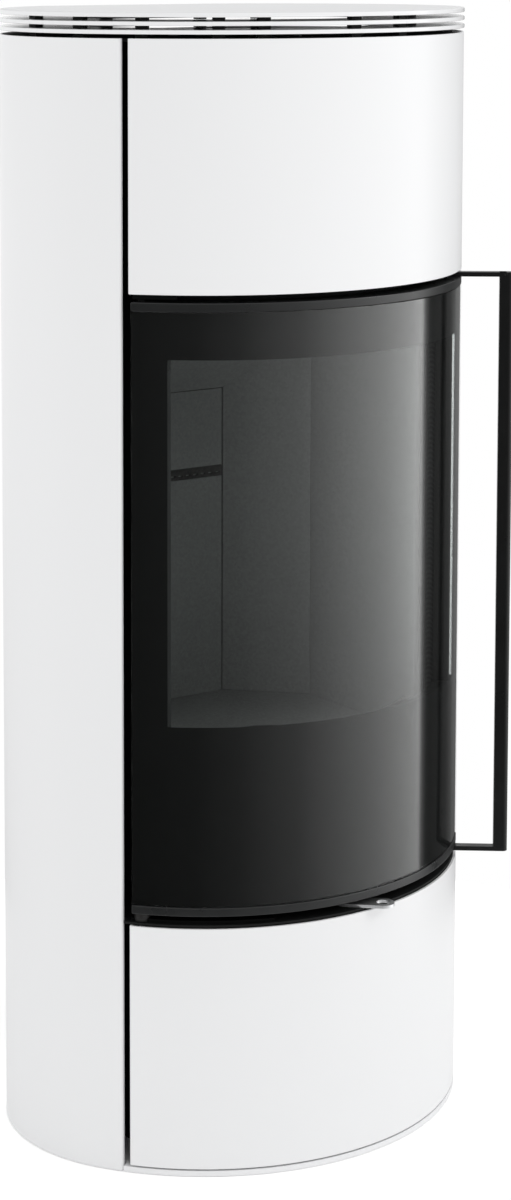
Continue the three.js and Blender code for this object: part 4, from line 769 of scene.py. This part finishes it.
# Nodes whose finish departs from their slot's, the hinge bracket and plate for painted shade: (slot,
# material).
OWN_FINISH_OR_PAINTED_SHADE = {
    "glass_strip_right": ("bright_steel", POLISHED_STEEL),
    "glass_strip_left": ("rim_grey", MATERIALS["rim_grey"]),
    "air_lever": ("bright_steel", SATIN_STEEL),
    # Painted shade: the hinge bracket and plate in the dark joint get the near-black print finish,
    # blacker than their steel, to stand in for the joint's shade.
    "hinge_bracket_top": ("black_steel", PRINT_AND_SHADE_BLACK),
    "hinge_plate_bottom": ("black_steel", PRINT_AND_SHADE_BLACK),
}


def make_the_rest():
    for node, cad in frame["nodes"].items():
        if not cad.hide_render:
            slot, material = OWN_FINISH_OR_PAINTED_SHADE.get(node, (SLOT_OF[node], MATERIALS[SLOT_OF[node]]))
            piece = fine_copy(node, EDGES[SLOT_OF[node]])
            dress(piece, node + "_finished", node, slot=slot, material=material)


# ---- Floor, world and lamps ----------------------------------------------------------------------

FLOOR_RADIUS = 0.72
FLOOR_SIDES = 96
FLOOR_PLACE = -0.0005               # height of the floor, just under the base plate
FLOOR_SHADE = 0.93
WHITE = (1, 1, 1, 1)
AMBIENT = 0.94                      # light that falls on the object from all round
FLOOR_LIFT = 0.25                   # what the camera sees of the floor on top of its own shade

# What mirror-like surfaces see around the stove: (angle from the front axis to the right, brightness).
# A dark room behind the camera, a wide soft box that ends on the right, and the white backdrop.
STUDIO = ((-180, 1.0), (-125, 1.0), (-92, 0.10), (-62, 0.06), (-38, 0.10), (-19, 0.22), (8, 0.6),
          (31, 1.3), (60, 2.1), (79.3, 2.4), (80.5, 0.8), (82.5, 0.4), (85, 0.12), (88, 0.07),
          (108, 0.08), (122, 0.2), (134, 0.22), (144, 1.0), (180, 1.0))
STUDIO_PEAK = 4.0
HORIZON_TOP = (10, 35)              # elevations between which the studio gives way to the ambient light
STUDIO_FALL = (-20, -8)             # elevations between which the studio's low edge rises to full
STUDIO_LOW = 0.5                    # its share at the low edge
MIRRORED_TWICE = 0.1                # its share in a mirror image of a shiny piece

LAMP_PLACE = (2.2, -2.2, 2.4)
LAMP_TARGET = (0, 0, 0.7)
LAMP_SIZE = 1.4
LAMP_POWER = 19                     # watts


def make_stage():
    mesh = bpy.data.meshes.new("floor")
    work = bmesh.new()
    bmesh.ops.create_circle(work, cap_ends=True, segments=FLOOR_SIDES, radius=FLOOR_RADIUS)
    work.to_mesh(mesh)
    work.free()
    floor = added(mesh)
    floor.name = "floor"
    floor.location.z = FLOOR_PLACE
    material = bpy.data.materials.new("floor_pale")
    material.use_nodes = True
    tree = material.node_tree
    shader = tree.nodes["Principled BSDF"]
    shader.inputs["Base Color"].default_value = (FLOOR_SHADE, FLOOR_SHADE, FLOOR_SHADE, 1)
    shader.inputs["Roughness"].default_value = 0.9
    shader.inputs["Specular IOR Level"].default_value = 0.1
    path = tree.nodes.new("ShaderNodeLightPath")
    scale = tree.nodes.new("ShaderNodeMath")
    scale.operation = "MULTIPLY"
    scale.inputs[1].default_value = FLOOR_LIFT
    tree.links.new(path.outputs["Is Camera Ray"], scale.inputs[0])
    shader.inputs["Emission Color"].default_value = WHITE
    tree.links.new(scale.outputs[0], shader.inputs["Emission Strength"])
    mesh.materials.append(material)


def make_world():
    """White for the camera, even light on matt surfaces, and the studio in shiny ones."""
    world = bpy.data.worlds.new("studio")
    bpy.context.scene.world = world
    world.use_nodes = True
    tree = world.node_tree
    nodes, link = tree.nodes, tree.links.new
    background = nodes["Background"]

    def math_node(operation, first, second=None):
        node = nodes.new("ShaderNodeMath")
        node.operation = operation
        for socket, value in ((node.inputs[0], first), (node.inputs[1], second)):
            if isinstance(value, (int, float)):
                socket.default_value = value
            elif value is not None:
                link(value, socket)
        return node.outputs[0]

    direction = nodes.new("ShaderNodeSeparateXYZ")
    link(nodes.new("ShaderNodeTexCoord").outputs["Generated"], direction.inputs[0])
    x, y, z = direction.outputs
    angle = math_node("ARCTAN2", x, math_node("MULTIPLY", y, -1))
    turn = math_node("ADD", math_node("DIVIDE", angle, 2 * math.pi), 0.5)
    ramp = nodes.new("ShaderNodeValToRGB")
    link(turn, ramp.inputs["Fac"])
    for i, (degrees, brightness) in enumerate(STUDIO):
        place = (degrees + 180) / 360
        element = ramp.color_ramp.elements[i] if i < 2 else ramp.color_ramp.elements.new(place)
        share = brightness / STUDIO_PEAK
        element.position = place
        element.color = (share, share, share, 1)
    fall = nodes.new("ShaderNodeMapRange")
    fall.inputs["From Min"].default_value = math.sin(math.radians(STUDIO_FALL[0]))
    fall.inputs["From Max"].default_value = math.sin(math.radians(STUDIO_FALL[1]))
    fall.inputs["To Min"].default_value = STUDIO_PEAK * STUDIO_LOW
    fall.inputs["To Max"].default_value = STUDIO_PEAK
    link(z, fall.inputs["Value"])
    studio = math_node("MULTIPLY", ramp.outputs["Color"], fall.outputs[0])
    height = nodes.new("ShaderNodeMapRange")
    height.interpolation_type = "SMOOTHSTEP"
    height.inputs["From Min"].default_value = math.sin(math.radians(HORIZON_TOP[0]))
    height.inputs["From Max"].default_value = math.sin(math.radians(HORIZON_TOP[1]))
    link(z, height.inputs["Value"])
    shiny = nodes.new("ShaderNodeMix")
    link(height.outputs[0], shiny.inputs[0])
    link(studio, shiny.inputs[2])
    shiny.inputs[3].default_value = AMBIENT

    path = nodes.new("ShaderNodeLightPath")
    again = math_node("GREATER_THAN", path.outputs["Glossy Depth"], 1.5)
    dimmed = math_node("MULTIPLY", shiny.outputs[0], MIRRORED_TWICE)
    twice = nodes.new("ShaderNodeMix")
    link(again, twice.inputs[0])
    link(shiny.outputs[0], twice.inputs[2])
    link(dimmed, twice.inputs[3])
    mirror = math_node("MAXIMUM", path.outputs["Is Glossy Ray"], path.outputs["Is Transmission Ray"])
    lit = nodes.new("ShaderNodeMix")
    link(mirror, lit.inputs[0])
    lit.inputs[2].default_value = AMBIENT
    link(twice.outputs[0], lit.inputs[3])
    seen = nodes.new("ShaderNodeMix")
    link(path.outputs["Is Camera Ray"], seen.inputs[0])
    link(lit.outputs[0], seen.inputs[2])
    seen.inputs[3].default_value = 1
    link(seen.outputs[0], background.inputs["Strength"])
    background.inputs["Color"].default_value = WHITE


def make_lamp():
    data = bpy.data.lights.new("soft_right", "AREA")
    data.shape = "RECTANGLE"
    data.size = data.size_y = LAMP_SIZE
    data.energy = LAMP_POWER
    light = bpy.data.objects.new("soft_right", data)
    light.location = LAMP_PLACE
    ray = Vector(LAMP_TARGET) - Vector(LAMP_PLACE)
    light.rotation_euler = ray.to_track_quat("-Z", "Y").to_euler()
    bpy.context.scene.collection.objects.link(light)


make_camera()
make_stage()
make_world()
make_lamp()
bpy.context.scene.view_settings.view_transform = "Standard"

make_panels()
make_top()
make_rims()
make_glass()
make_handle()
make_seal()
make_the_rest()
